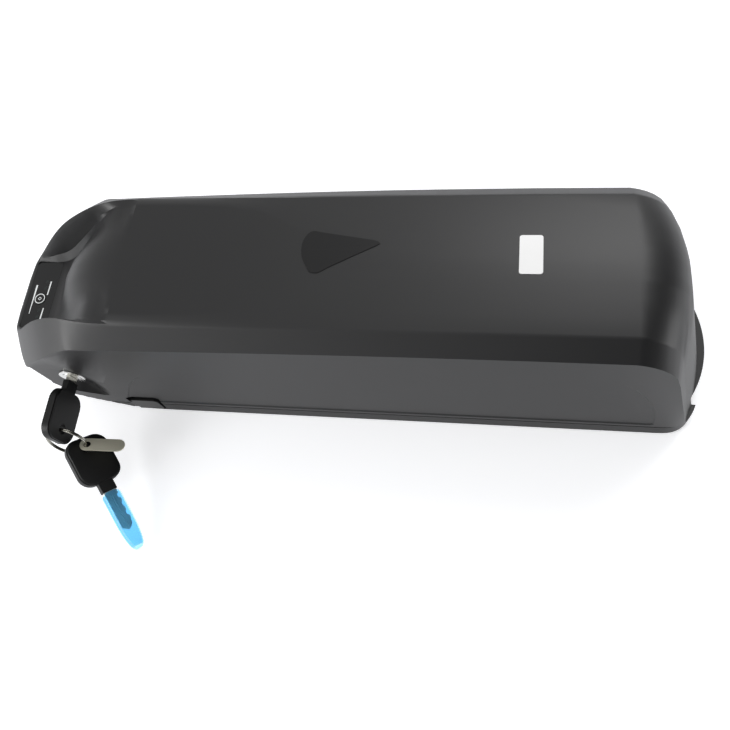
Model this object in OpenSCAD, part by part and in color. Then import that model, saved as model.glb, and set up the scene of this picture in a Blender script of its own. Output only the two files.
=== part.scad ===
// Downtube battery for an electric bicycle, docked in its frame cradle.
// X runs along the pack with the display nose at -X, Z is up, away from the frame tube.
// The origin is under the middle of the cradle, on the face that bears on the tube.

/* [Case] */
// Distance from the origin to the nose tip
nose_reach = 188; // [184:1:196]
// Distance from the origin to the tail tip of the plan outline
tail_reach = 186; // [184:1:194]
// Overall width of the case
case_w = 90; // [88:1:98]
// Height of the crowned top
case_h = 104; // [103:1:112]
// Moulded wall thickness
wall = 2.6; // [2.2:0.1:3]
// Inset of the creases of the top from the sides
crease_inset = 9; // [7:0.5:11]
// Drop from the crown to the creases
crease_drop = 2.2; // [1.4:0.2:3]
// Drop from the crown to the edge of the V-shaped plateau on the top
plateau_drop = 0.3; // [0.2:0.1:0.6]
// Distance from the origin to the tip of the plateau
plateau_tip = 50; // [40:2:60]
// Length over which the plateau's edge fades in at its tip
plateau_fade = 16; // [10:1:24]
// Drop from the crown to the shoulders
shoulder_drop = 10; // [8:0.5:13]
// Extra drop of the shoulders towards the nose
shoulder_sag = 3.5; // [2:0.5:5]
// Height of the parting plane between the two shells
split_z = 10; // [9:0.5:10.5]
// Height of the lower edge of the skirts
skirt_z = 1; // [0.6:0.1:1.4]
// Outward flare of the lower lip
lip_flare = 0.8; // [0.4:0.1:1]
// Depth of the large panels sunk into the sides
panel_depth = 0.5; // [0.4:0.1:1]

/* [Nose and tail] */
// Length of the scooped nose
scoop_len = 83; // [80:1:88]
// Radius of the roll from the top into the nose slope
bulge_r = 55; // [50:1:60]
// Steepest angle of the nose slope
bulge_angle = 55; // [50:1:58]
// Set-back of the slope at bulge_sweep_y from the middle
bulge_sweep = 9; // [6:0.5:11]
// Distance from the middle at which the set-back is given
bulge_sweep_y = 22; // [20:1:25]
// Height of the flat display ledge
ledge_z = 62; // [60:0.5:64]
// Height of the nose edge in front of the ledge
nose_edge_z = 60.5; // [59:0.5:62]
// Width of the scoop wall inside the rim
rim_wall = 4; // [3:0.5:5]
// Length over which the nose rounds in plan
nose_round = 23; // [20:1:26]
// Length over which the underside of the nose rises
bow_len = 38; // [34:1:40]
// Height to which the underside of the nose rises
bow_h = 40; // [36:1:44]
// Length of the tail from the start of its roll
tail_roll = 48; // [44:1:52]
// Radius of the roll from the top into the tail
tail_r = 28; // [24:1:32]
// Angle of the tail face to the table
tail_angle = 75; // [72:1:78]
// Set-back of the tail face at the creases
tail_sweep = 5.5; // [5:0.5:9]
// Length over which the tail rounds in plan
tail_round = 23; // [22:1:30]

/* [Cradle] */
// Set-back of the rail from the nose tip
rail_nose_gap = 22.5; // [22:0.5:24]
// Set-back of the rail from the tail tip
rail_tail_gap = 29; // [28:0.5:30]
// Inset of the rail walls from the sides of the case
rail_inset = 20; // [19:0.5:21]
// Height of the rail walls
rail_h = 17.7; // [17:0.1:18]
// Thickness of the rail walls
rail_wall = 3; // [2.4:0.2:3.4]
// Thickness of the rail floor
rail_floor = 4; // [3:0.5:5]
// Running gap between the battery and the cradle
run_gap = 0.3; // [0.25:0.05:0.4]
// Spacing of the frame bolts
bolt_pitch = 64; // [60:1:66]
// Number of slots for frame bolts
bolt_count = 4; // [2:2:4]
// Length of a bolt slot
slot_len = 14; // [12:1:16]
// Width of a bolt slot
slot_w = 5.5; // [5.2:0.1:6]
// Length of a holding tab
tab_len = 26; // [22:1:28]
// Thickness of a holding tab
tab_t = 3.2; // [2.6:0.2:3.6]
// Height of the underside of the holding tabs
tab_z = 10.4; // [10:0.1:11]
// Spacing of the holding tabs
tab_pitch = 100; // [90:1:104]
// Radius of the rounded cradle end
dome_r = 60; // [50:1:70]
// Length of the rounded cradle end
dome_len = 29.2; // [28:0.1:33]
// Inset of the rounded cradle end from the sides of the case
dome_inset = 14; // [14:0.5:16]
// Wall of the rounded cradle end
dome_wall = 2.4; // [2:0.2:3]

/* [Lock] */
// Set-back of the lock axis from the nose tip
lock_back = 29; // [28:0.5:31]
// Height of the lock axis
lock_z = 40; // [38:0.5:42]
// Depth of the flat lock face in the side of the case
lock_depth = 5; // [4:0.5:6]
// Diameter of the lock rosette
rosette_d = 14.7; // [14.4:0.1:17]
// Diameter of the lock barrel
barrel_d = 13; // [12.6:0.1:13.6]
// Diameter of the turning plug
plug_d = 10; // [9.6:0.1:10.4]
// Length of the turning plug
plug_len = 21; // [20:0.5:22]
// Throw radius of the crank pin
crank_r = 5.6; // [5.2:0.1:5.8]
// Diameter of the crank pin
crank_pin_d = 3; // [2.6:0.1:3.2]
// Width of the bolt along the pack
bolt_w = 8; // [7:0.5:9]
// Thickness of the bolt
bolt_t = 4; // [3:0.5:4.5]

/* [Keys] */
// Length of a key head
head_len = 28; // [26:0.5:30]
// Width of a key head
head_w = 25; // [23:0.5:27]
// Thickness of a key head
head_t = 5.5; // [5:0.1:6]
// Corner radius of a key head
head_r = 7; // [5:0.5:8]
// Distance from the free end of a head to its ring hole
hole_back = 6.5; // [6:0.5:7.5]
// Diameter of the ring hole
ring_hole_d = 5.6; // [5.2:0.1:6]
// Length of a key blade beyond its neck
blade_len = 34; // [32:1:38]
// Height of a key blade
blade_h = 7.4; // [7:0.1:7.6]
// Thickness of a key blade
blade_t = 2; // [1.8:0.1:2.2]
// Length of the plastic neck
neck_len = 6.5; // [5:0.5:7]
// Mean radius of the key ring
ring_r = 11.6; // [11:0.1:12.5]
// Thickness of the key ring wire
ring_wire = 2; // [1.6:0.1:2.2]
// Length of the metal tag
tag_len = 25; // [22:0.5:28]
// Width of the metal tag
tag_w = 8; // [7:0.5:9]
// Thickness of the metal tag
tag_t = 0.8; // [0.6:0.1:1.2]
// Width of the protective sleeve
sleeve_w = 10; // [9.4:0.2:11]
// Thickness of the protective sleeve
sleeve_t = 3.6; // [3.2:0.1:4]

/* [Charge port] */
// Set-back of the charge port from the nose tip
port_back = 61.5; // [60:0.5:63]
// Height of the charge port
port_z = 9.6; // [9.3:0.1:10]
// Length of the port cap
cap_len = 19; // [18:0.5:20]
// Height of the port cap
cap_h = 13.8; // [13.2:0.1:14.4]
// Thickness of the port cap
cap_t = 2.2; // [1.8:0.1:2.6]
// Depth of the seat that the cap closes into
cap_seat = 1.6; // [1.4:0.1:1.8]
// Bore of the charge socket
socket_bore = 7.5; // [7:0.1:8]
// Outer diameter of the charge socket
socket_d = 11.5; // [11:0.1:12]
// Depth of the charge socket
socket_len = 7.4; // [7:0.1:7.8]

/* [Cells] */
// Diameter of a cell
cell_d = 18.4; // [18:0.1:18.6]
// Length of a cell
cell_len = 65; // [64:0.5:65.5]
// Spacing of the cells
cell_pitch = 19.6; // [19.4:0.1:19.8]
// Room between the nose tip and the cells
pack_nose_gap = 72.4; // [72:0.2:76]
// Room between the tail tip and the cells
pack_tail_gap = 45.4; // [45:0.2:50]
// Height kept above the cells for the electronics
board_room = 14; // [12:0.5:16]
// Thickness of a cell holder
holder_t = 8.5; // [6:0.5:10]
// Thickness of the nickel strips
nickel_t = 0.2; // [0.15:0.05:0.3]
// Width of the nickel strips
nickel_w = 8; // [6:0.5:9]

/* [Battery electronics] */
// Length of the battery management board
bms_len = 100; // [90:1:110]
// Width of the battery management board
bms_w = 62; // [58:1:63]
// Thickness of the circuit boards
board_t = 1.6; // [1.2:0.2:2]
// Thickness of the discharge leads
lead_d = 4; // [3.4:0.2:4.4]
// Thickness of the charge and signal leads
small_lead_d = 2.4; // [2:0.2:2.8]

/* [Display] */
// Set-back of the power button from the nose tip
button_back = 11.3; // [11:0.1:12]
// Offset of the button and the lights from the middle
display_y = -2.8; // [-3:0.2:0]
// Diameter of the power button
button_d = 6.5; // [6:0.1:7]
// Travel of the power button
button_travel = 0.6; // [0.4:0.1:0.8]
// Width of the display label
label_w = 42; // [40:0.5:43]
// Length of the display label
label_len = 16; // [15:0.2:16.4]
// Thickness of the display label
label_t = 0.5; // [0.4:0.1:0.6]
// Number of charge lights
light_count = 4; // [4:2:4]

/* [Hidden] */

// One overrun serves every cut
cut = 2;
// Small clearance of fixed pieces that seat in one another
fit = 0.1;
// Facets of exact round pieces
$fn = 48;

// Falls of the nose rim, by share of the nose length
rim_drop_shares = [
  [0, 0], [0.145, 0.007], [0.279, 0.03], [0.388, 0.083], [0.497, 0.178], [0.606, 0.312],
  [0.727, 0.51], [0.848, 0.738], [0.909, 0.855], [0.97, 0.956], [1, 1]
];
// Half widths of the nose rim, by share of the nose length
rim_width_shares = [
  [0, 1], [0.145, 0.988], [0.279, 0.942], [0.388, 0.882], [0.497, 0.84], [0.606, 0.806],
  [0.727, 0.768], [0.848, 0.724], [0.909, 0.688], [0.97, 0.606], [1, 0.48]
];
// Falls of the scoop floor inside the rim, by share of the nose length
floor_drop_shares = [
  [0, 0], [0.145, 0.033], [0.364, 0.347], [0.57, 0.749], [0.667, 0.925], [0.755, 1], [0.965, 1], [1, 1.03]
];
// Sag of the shoulders, by share of the nose reach
sag_shares = [[-0.2, 0], [0, 0.17], [0.22, 0.45], [0.4, 0.77], [0.53, 1], [0.66, 1.3]];
// Slope of the nose cheeks outside the rim
cheek_slope_share = 0.85;
// Half widths of the plateau, by share of the way from its tip to the nose slope
plateau_width_shares = [
  [0, 0.02], [0.16, 0.14], [0.32, 0.33], [0.46, 0.56], [0.58, 0.73], [0.68, 0.8], [0.8, 0.83], [1, 0.84], [1.2, 0.9]
];
// Powers of the rounded plan ends
nose_power = 2.9;
tail_power = 3;
sweep_power = 2.5;
crown_power = 1.5;
// Places of the sections along the nose, the middle and the tail
nose_station_shares = [
  0.995, 0.985, 0.972, 0.955, 0.935, 0.91, 0.88, 0.85, 0.815, 0.78, 0.745, 0.71, 0.667, 0.625,
  0.585, 0.545, 0.505, 0.465, 0.425, 0.388, 0.35, 0.31, 0.265, 0.22, 0.17, 0.11, 0.05, 0
];
middle_station_shares = [0.06, 0.12, 0.2, 0.27, 0.34, 0.43, 0.53, 0.63, 0.82];
tail_station_shares = [
  0, 0.08, 0.16, 0.24, 0.32, 0.4, 0.47, 0.54, 0.6, 0.655, 0.705, 0.75, 0.79, 0.827, 0.86, 0.89,
  0.916, 0.94, 0.96, 0.977, 0.99
];
// Places of the points across the plateau, and from its edge to the crease
plateau_point_shares = [0, 0.3, 0.54, 0.74, 0.88, 1];
facet_point_shares = [0.3, 0.64, 0.965];
// Least share of the crease width that the points of the plateau take
plateau_least_share = 0.3;
// Places of the points from the crease to the side
band_point_shares = [0.08, 0.36, 0.7, 1];
// Sections and points of the hollow inside
hollow_nose_shares = [0.94, 0.89, 0.83, 0.755, 0.69, 0.62, 0.54, 0.45, 0.35, 0.23, 0.1];
hollow_middle_shares = [0.05, 0.5, 0.95];
hollow_tail_shares = [0.1, 0.22, 0.35, 0.48, 0.615, 0.7, 0.765];
hollow_point_shares = [0, 0.35, 0.6, 0.78, 0.9, 1];
// How far the hollow stays back on slopes, in walls
slope_wall_share = 1.2;

half_w = case_w / 2;
nose_len = scoop_len;
tail_len = tail_roll;
bulge_x = nose_reach - scoop_len;
tail_x = tail_reach - tail_roll;
rail_nose = nose_reach - rail_nose_gap;
rail_tail = tail_reach - rail_tail_gap;
rail_w = (half_w - rail_inset) * 2;
dome_half = half_w - dome_inset;
lock_x = nose_reach - lock_back;
lock_face = half_w - lock_depth;
port_x = nose_reach - port_back;
button_x = nose_reach - button_back;
crease_w = (half_w - crease_inset) * 2;
crease_z = case_h - crease_drop;
lip_round = skirt_z * 1.5;

function blend(a, b, t) = a + (b - a) * t;
function ease(t) = let (c = min(1, max(0, t))) c * c * (3 - 2 * c);
function nose_share(x) = (-x - bulge_x) / nose_len;

// Smooth line through a table of pairs, which never swings past a pair
function rise_of(t, i) = (t[i + 1][1] - t[i][1]) / (t[i + 1][0] - t[i][0]);
function slope_at(t, i) =
  i == 0
    ? rise_of(t, 0)
    : i == len(t) - 1
      ? rise_of(t, i - 1)
      : let (a = rise_of(t, i - 1), b = rise_of(t, i)) a * b <= 0 ? 0 : 2 * a * b / (a + b);
function curve(x, t) =
  x <= t[0][0] || x >= t[len(t) - 1][0]
    ? lookup(x, t)
    : let (
        i = max([for (k = [0 : len(t) - 2]) t[k][0] <= x ? k : 0]),
        w = t[i + 1][0] - t[i][0],
        u = (x - t[i][0]) / w
      )
      t[i][1] * (1 + 2 * u) * pow(1 - u, 2) + t[i + 1][1] * pow(u, 2) * (3 - 2 * u)
        + w * u * (1 - u) * (slope_at(t, i) * (1 - u) - slope_at(t, i + 1) * u);

// Height of the middle line of the case above the table
function profile(x) =
  x < -bulge_x ? nose_profile(x) : x > tail_x ? tail_profile(x) : case_h;
function nose_profile(x) =
  let (foot = -bulge_x - bulge_r * sin(bulge_angle))
  x >= foot
    ? case_h - bulge_r + sqrt(pow(bulge_r, 2) - pow(x + bulge_x, 2))
    : case_h - bulge_r * (1 - cos(bulge_angle)) - (foot - x) * tan(bulge_angle);
function tail_profile(x) =
  let (foot = tail_x + tail_r * sin(tail_angle))
  x <= foot
    ? case_h - tail_r + sqrt(pow(tail_r, 2) - pow(x - tail_x, 2))
    : case_h - tail_r * (1 - cos(tail_angle)) - (x - foot) * tan(tail_angle);

// Half width of the plan outline
function rounded_end(t, power) = pow(max(0, 1 - pow(max(0, t), power)), 1 / power);
function plan(x) =
  half_w * min(
    rounded_end((-x - nose_reach + nose_round) / nose_round, nose_power),
    rounded_end((x - tail_reach + tail_round) / tail_round, tail_power)
  );

// Lower edge of the case, which rises like a bow under the nose
function bow(x) =
  let (t = min(1, max(0, (-x - nose_reach + bow_len) / bow_len)))
  max(skirt_z, bow_h * (1 - sqrt(1 - t * t)));

function rim_z(x) = crease_z - (crease_z - nose_edge_z) * curve(nose_share(x), rim_drop_shares);
function rim_y(x) = min(crease_w / 2 * curve(nose_share(x), rim_width_shares), plan(x) * 0.9);
function scoop_z(x) = crease_z - (crease_z - ledge_z) * curve(nose_share(x), floor_drop_shares);
function shoulder_z(x) =
  let (sag = case_h - shoulder_drop - shoulder_sag * curve(-x / nose_reach, sag_shares))
  min(sag, rim_z(x) - (plan(x) - rim_y(x)) * cheek_slope_share);

// Crown of the top and the bevel outside its creases
function plateau_share(x) = curve((plateau_tip - x) / (plateau_tip + bulge_x), plateau_width_shares);
function crown_drop(x, y) =
  let (
    edge = crease_w / 2,
    flat = edge * plateau_share(x),
    drop = plateau_drop * min(1, max(0, (plateau_tip - x) / plateau_fade))
  )
  y < flat
    ? drop * pow(y / flat, 2)
    : blend(drop, crease_drop, pow(min(1, (y - flat) / (edge - flat)), crown_power));
function inner_nose(x, y) =
  let (
    slope = nose_profile_at(x - bulge_sweep * pow(y / bulge_sweep_y, 2)),
    rise = ease((y - rim_y(x) + rim_wall) / rim_wall),
    scoop = blend(scoop_z(x), rim_z(x), rise)
  )
  min(max(slope, scoop), case_h - crown_drop(x, y));
function nose_profile_at(x) = x < -bulge_x ? nose_profile(x) : case_h;
function tail_top(x, y) =
  let (sweep = x > 0 ? tail_sweep * pow(y / (crease_w / 2), sweep_power) : 0)
  profile(x + sweep) - crown_drop(x, y);

// Height of the outer surface over a point of the plan
function top(x, y) =
  let (edge = rim_y(x), side = plan(x))
  y <= edge
    ? (x < -bulge_x ? inner_nose(x, y) : tail_top(x, y))
    : let (
        t = (y - edge) / max(side - edge, fit),
        crease = x < -bulge_x ? rim_z(x) : tail_top(x, edge),
        bevel = shoulder_z(x) - crease_z,
        sweep = x > 0 ? profile(x + tail_sweep) - case_h : 0
      )
      x < -bulge_x
        ? blend(crease, shoulder_z(x), t)
        : case_h - crease_drop + bevel * t + sweep;

top_points = concat([for (s = plateau_point_shares) [s, 0]], [for (s = facet_point_shares) [1, s]]);

// Half of a section, from the middle of the underside round to the middle of the top
function outer_half(x) =
  let (
    side = plan(x),
    edge = rim_y(x),
    low = bow(x),
    high = max(top(x, side), low + skirt_z),
    flare = min(lip_flare, max(0, high - low) * 0.1),
    turn = min(lip_round + max(0, low - skirt_z) * 0.5, side * 0.4, (high - low) * 0.4),
    neck = max(split_z - lip_round, low + turn * 1.2)
  )
  concat(
    [[0, low], [side + flare - turn, low], [side + flare, low + turn], [side, min(neck, (low + turn + high) / 2)]],
    [for (k = [len(band_point_shares) - 1 : -1 : 0])
      let (y = blend(edge, side, band_point_shares[k]))
      [y, max(top(x, y), low + skirt_z * 2)]],
    [for (k = [len(top_points) - 1 : -1 : 0])
      let (
        flat = edge * max(plateau_least_share, plateau_share(x)),
        y = blend(0, flat, top_points[k][0]) + (edge - flat) * top_points[k][1]
      )
      [y, max(top(x, y), low + skirt_z * 2)]]
  );

// Half of a section of the hollow inside the shells
function hollow_top(x, y) =
  let (back = wall * slope_wall_share)
  min(
    x < back - bulge_x ? scoop_z(x - back) - wall : case_h,
    top(x, min(plan(x), y + wall * 0.4)) - wall,
    top(x - back, min(y, plan(x - back))),
    top(x + back, min(y, plan(x + back)))
  );
function hollow_half(x) =
  let (
    side = min(plan(x - wall), plan(x + wall)) - wall,
    low = bow(x) > skirt_z ? max(bow(x) + wall, split_z - cut) : split_z - cut,
    high = max(hollow_top(x, side), low + fit * 4)
  )
  concat(
    [[0, low], [side, low]],
    [[side, high]],
    [for (k = [len(hollow_point_shares) - 2 : -1 : 0])
      let (y = side * hollow_point_shares[k])
      [y, max(hollow_top(x, y), low + fit * 4)]]
  );

function whole_ring(x, half) =
  concat(
    [for (p = half) [x, p[0], p[1]]],
    [for (i = [len(half) - 2 : -1 : 1]) [x, -half[i][0], half[i][1]]]
  );

// Closed skin through a row of rings with equal numbers of points
module skin(rings) {
  n = len(rings[0]);
  last = len(rings) - 1;
  polyhedron(
    points = [for (ring = rings) for (p = ring) p],
    faces = concat(
      [[for (j = [0 : n - 1]) j]],
      [for (i = [0 : last - 1]) for (j = [0 : n - 1])
        for (half = [0, 1])
          let (a = i * n + j, b = i * n + (j + 1) % n, c = a + n, d = b + n)
          half == 0 ? [a, c, d] : [a, d, b]],
      [[for (j = [n - 1 : -1 : 0]) last * n + j]]
    )
  );
}

outer_places = concat(
  [for (s = nose_station_shares) -bulge_x - nose_len * s],
  [for (s = middle_station_shares) blend(-bulge_x, tail_x, s)],
  [for (s = tail_station_shares) tail_x + tail_len * s]
);
hollow_places = concat(
  [for (s = hollow_nose_shares) -bulge_x - nose_len * s],
  [for (s = hollow_middle_shares) blend(-bulge_x, tail_x, s)],
  [for (s = hollow_tail_shares) tail_x + tail_len * s]
);

// Lower edge of the lock side, which climbs below the lock, as shares of the reach and the height
lift_shares = [
  [0.63, 0.009], [0.681, 0.022], [0.723, 0.04], [0.766, 0.071], [0.798, 0.099], [0.824, 0.125],
  [0.851, 0.156], [0.872, 0.187], [0.894, 0.219], [0.912, 0.243]
];
lift_root = lock_face - wall * 0.4;

// Wedge below that edge; it starts behind the flat lock face
module lock_lift() {
  far = half_w + cut;
  skin([for (k = [len(lift_shares) - 1 : -1 : 0])
    let (
      x = -nose_reach * lift_shares[k][0],
      z = case_h * lift_shares[k][1],
      high = (z + cut) * (far - lift_root) / (half_w - lift_root) - cut
    )
    [[x, -lift_root, -cut], [x, -far, high], [x, -far, -cut]]]);
}

module outer_form() {
  difference() {
    skin([for (x = outer_places) whole_ring(x, outer_half(x))]);
    lock_lift();
  }
}

module hollow_form() {
  skin([for (x = hollow_places) whole_ring(x, hollow_half(x))]);
}

// Block between two opposite corners
module block(low, high) {
  translate(low)
    cube(high - low);
}

// Rod along Y, from y to y plus len
module rod_y(x, y, z, len, d) {
  translate([x, y, z])
    rotate([-90, 0, 0])
      cylinder(h = len, d = d);
}

// Flat plate with round corners, centred, lying on its own base plane
module round_plate(len, width, r, t) {
  linear_extrude(t) {
    square([len - 2 * r, width], center = true);
    square([len, width - 2 * r], center = true);
    for (sx = [-1, 1]) for (sy = [-1, 1])
      translate([sx * (len / 2 - r), sy * (width / 2 - r)])
        circle(r);
  }
}

// Slot through a plate along X
module slot(x, len, width, z, h) {
  for (s = [-1, 1])
    translate([x + s * (len - width) / 2, 0, z])
      cylinder(h = h, d = width);
  translate([x - (len - width) / 2, -width / 2, z])
    cube([len - width, width, h]);
}

// Tube of eight sides along a row of points
tube_sides = 8;
function unit(v) = v / norm(v);
function tangent(p, i) =
  unit(i == 0 ? p[1] - p[0] : i == len(p) - 1 ? p[i] - p[i - 1] : unit(p[i + 1] - p[i]) + unit(p[i] - p[i - 1]));
function side_of(t) = unit(cross(t, abs(t[1]) < 0.9 ? [0, 1, 0] : [0, 0, 1]));
module tube(p, d) {
  n = tube_sides;
  rings = [for (i = [0 : len(p) - 1])
    let (t = tangent(p, i), u = side_of(t), v = cross(t, u))
    [for (k = [0 : n - 1]) p[i] + d / 2 * (cos(360 * k / n) * u + sin(360 * k / n) * v)]];
  skin(rings);
}

// Cradle that is bolted to the frame tube

rail_half = rail_w / 2;
channel_half = dome_half + run_gap + fit * 2;
channel_z = rail_h + run_gap;
tab_reach = channel_half - run_gap * 2;
hook_gap_x = 1;
nose_block_len = 16;
nose_block_z = 14;
strike_t = 2;
strike_len = 13;
strike_w = 18;
bolt_y = 15.5;
strike_half = bolt_y - bolt_t / 2 - run_gap * 3;
tongue_len = 16;
tongue_half = 14;
pad_len = 26;
pad_w = 34;
pad_t = 1.2;
cradle_screw_d = 3;
cradle_screw_head_d = 5.6;
cradle_screw_head_t = 1.8;

tab_places = [for (k = [-1 : 1]) k * tab_pitch];
bolt_places = [for (k = [0 : bolt_count - 1]) (k - (bolt_count - 1) / 2) * bolt_pitch];
tongue_end = rail_tail + tongue_len;

module strike_hole(z, h, gap) {
  translate([-lock_x - bolt_w / 2 - gap, -bolt_y - bolt_t / 2 - gap, z])
    cube([bolt_w + gap * 2, bolt_t + gap * 2, h]);
}

module cradle_rail() {
  color("dimgray")
    difference() {
      union() {
        block([-rail_nose, -rail_half, 0], [rail_tail, rail_half, rail_floor]);
        for (s = [-1, 1])
          translate([-rail_nose, s * (rail_half - rail_wall / 2) - rail_wall / 2, 0])
            cube([rail_nose + rail_tail, rail_wall, rail_h]);
        block([-rail_nose, -strike_half, 0], [-rail_nose + nose_block_len, strike_half, nose_block_z]);
        block([rail_tail - cut, -tongue_half, 0], [tongue_end, tongue_half, rail_floor]);
        for (x = tab_places)
          for (s = [-1, 1])
            translate([x - tab_len / 2, s > 0 ? rail_half - fit : -tab_reach, tab_z])
              cube([tab_len, tab_reach - rail_half + fit, tab_t]);
      }
      for (x = bolt_places)
        slot(x, slot_len, slot_w, -cut, rail_floor + cut * 2);
      for (x = pad_places)
        block([x - pad_len / 2, -pad_w / 2, -cut], [x + pad_len / 2, pad_w / 2, pad_t]);
      for (p = concat(strike_screw_places, tongue_screw_places))
        translate([p[0], p[1], -cut])
          cylinder(h = rail_h, d = cradle_screw_d - fit);
    }
}

pad_places = [for (k = [-1, 1]) k * bolt_pitch];
strike_screw_y = bolt_y - bolt_t / 2 - cradle_screw_head_d / 2 - run_gap * 3;
strike_screw_places = [for (s = [-1, 1]) [-rail_nose + nose_block_len / 2 + fit, s * strike_screw_y]];
tongue_screw_places = [for (s = [-1, 1]) [rail_tail + tongue_len / 2, s * tongue_half / 2]];

module cradle_pads() {
  color("black")
    for (x = pad_places)
      block([x - pad_len / 2 + fit, -pad_w / 2 + fit, 0], [x + pad_len / 2 - fit, pad_w / 2 - fit, pad_t]);
}

strike_x = -rail_nose + nose_block_len / 2 + fit;

module strike_plate() {
  color("silver")
    difference() {
      translate([strike_x, 0, nose_block_z])
        round_plate(strike_len, rail_w - rail_wall * 2 - fit * 4, strike_t, strike_t);
      strike_hole(nose_block_z - cut, strike_t + cut * 2, run_gap);
      for (p = strike_screw_places)
        translate([p[0], p[1], nose_block_z - cut])
          cylinder(h = strike_t + cut * 2, d = cradle_screw_d + fit * 2);
    }
}

dome_front = rail_tail + fit * 3;
dome_reach = dome_front + dome_len;
dome_roof = rail_h;
gland_d = 7;
gland_rim_d = 10;
gland_rim_t = 1.2;
gland_x = dome_reach - 8.5;
block_t = 5;
block_w = rail_w - cradle_screw_d * 2 - rail_floor;
block_low = 5;

module dome_plan(inset) {
  intersection() {
    translate([dome_reach - dome_r, 0])
      circle(dome_r - inset, $fn = 96);
    translate([dome_front + inset, -dome_half + inset])
      square([dome_reach - dome_front, dome_half * 2 - inset * 2]);
  }
}

module cradle_end() {
  color("black")
    difference() {
      linear_extrude(dome_roof)
        dome_plan(0);
      translate([0, 0, rail_floor + fit])
        linear_extrude(dome_roof - dome_wall - rail_floor - fit)
          dome_plan(dome_wall);
      block([dome_front - cut, -tongue_half - fit, -cut], [tongue_end + fit, tongue_half + fit, rail_floor + fit]);
      block(
        [dome_front - cut, -block_w / 2 - fit, block_low - fit],
        [dome_front + block_t, block_w / 2 + fit, dome_roof - dome_wall + fit]
      );
      for (p = tongue_screw_places)
        translate([p[0], p[1], 0])
          cylinder(h = dome_roof + cut, d = cradle_screw_d + fit * 2);
      translate([gland_x, 0, -cut])
        cylinder(h = rail_floor + cut * 2, d = gland_d + fit);
    }
}

module cable_grommet() {
  color("black")
    translate([gland_x, 0, 0])
      difference() {
        union() {
          translate([0, 0, fit])
            cylinder(h = rail_floor + gland_rim_t, d = gland_d);
          translate([0, 0, rail_floor + fit])
            cylinder(h = gland_rim_t, d = gland_rim_d);
        }
        translate([0, 0, -cut])
          cylinder(h = rail_floor + gland_rim_t + cut * 2, d = gland_d - gland_rim_t * 2);
      }
}

blade_places_share = [-0.36, -0.12, 0.12, 0.36];
blade_width_share = 0.16;
terminal_blade_w = block_w * blade_width_share;
terminal_blade_t = 0.8;
terminal_blade_reach = 13;
terminal_z = 11.5;
terminal_tail = 4;

module blades_at(grow, x_from, x_to) {
  for (s = blade_places_share)
    translate([x_from, s * block_w - terminal_blade_w / 2 - grow, terminal_z - terminal_blade_t / 2 - grow])
      cube([x_to - x_from, terminal_blade_w + grow * 2, terminal_blade_t + grow * 2]);
}

module terminal_block() {
  color("ivory")
    difference() {
      block([dome_front, -block_w / 2, block_low], [dome_front + block_t - fit, block_w / 2, dome_roof - dome_wall]);
      blades_at(fit / 2, dome_front - cut, dome_front + block_t + cut);
    }
}

module terminal_blades() {
  color("gold")
    blades_at(0, dome_front - terminal_blade_reach, dome_front + block_t + terminal_tail);
}

module cradle_screw(p, head_z, len) {
  translate([p[0], p[1], head_z])
    cylinder(h = cradle_screw_head_t, d1 = cradle_screw_head_d, d2 = cradle_screw_head_d * 0.7);
  translate([p[0], p[1], head_z - len])
    cylinder(h = len + fit, d = cradle_screw_d - fit);
}

module cradle_screws() {
  color("silver") {
    for (p = strike_screw_places)
      cradle_screw(p, nose_block_z + strike_t, nose_block_z - rail_floor);
    for (p = tongue_screw_places)
      cradle_screw(p, rail_floor + fit, rail_floor - fit * 2);
  }
}

// Shells of the battery

channel_wall = 2.5;
channel_roof = 2.5;
channel_nose = rail_nose + run_gap * 2;
skirt_floor = 2.5;
hook_z_gap = run_gap;
hook_t = 3.6;
hook_reach = rail_half + run_gap * 2;
roof_z = channel_z + channel_roof;
connector_len = 16;
connector_front = rail_tail - connector_len;
connector_half = rail_half - rail_wall - run_gap * 9.3;
screw_edge = 6.8;
screw_y = half_w - screw_edge;
screw_d = 2.9;
screw_head_d = 5.2;
screw_head_t = 1.8;
screw_head_z = 2.6;
screw_top = 20;
boss_d = 6.2;
boss_top = 23;
screw_place_shares = [-0.56, -0.22, 0.111, 0.455, 0.788];
screw_places = [for (s = screw_place_shares) s < 0 ? nose_reach * s : tail_reach * s];
boss_rib_t = 2.4;
seal_w = 1.2;
seal_h = 1.4;
label_x = -bulge_x - nose_len * 0.86;

// Side panels with slanted ends and soft edges, as shares of the reach to the nose or tail and of the height
panel_shares = [
  [-0.726, 0.14], [-0.697, 0.238], [-0.667, 0.345], [-0.643, 0.413], [-0.614, 0.477], [-0.58, 0.526],
  [-0.538, 0.563], [-0.438, 0.604], [-0.255, 0.643], [-0.087, 0.667], [0.185, 0.702], [0.435, 0.733],
  [0.575, 0.748], [0.635, 0.741], [0.69, 0.715], [0.735, 0.67], [0.77, 0.61], [0.803, 0.52], [0.827, 0.42],
  [0.848, 0.3], [0.857, 0.2], [0.86, 0.14], [0.852, 0.125], [-0.712, 0.125]
];
panel_soft = 0.8;

module panel_slice(y, grow) {
  translate([0, y, 0])
    rotate([90, 0, 0])
      linear_extrude(fit / 2, center = true)
        offset(delta = grow)
          polygon([for (p = panel_shares) [p[0] * (p[0] < 0 ? nose_reach : tail_reach), p[1] * case_h]]);
}

module side_panels() {
  for (s = [-1, 1])
    hull() {
      panel_slice(s * (half_w - panel_depth), -panel_soft);
      panel_slice(s * (half_w + panel_depth), panel_soft);
    }
}

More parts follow.
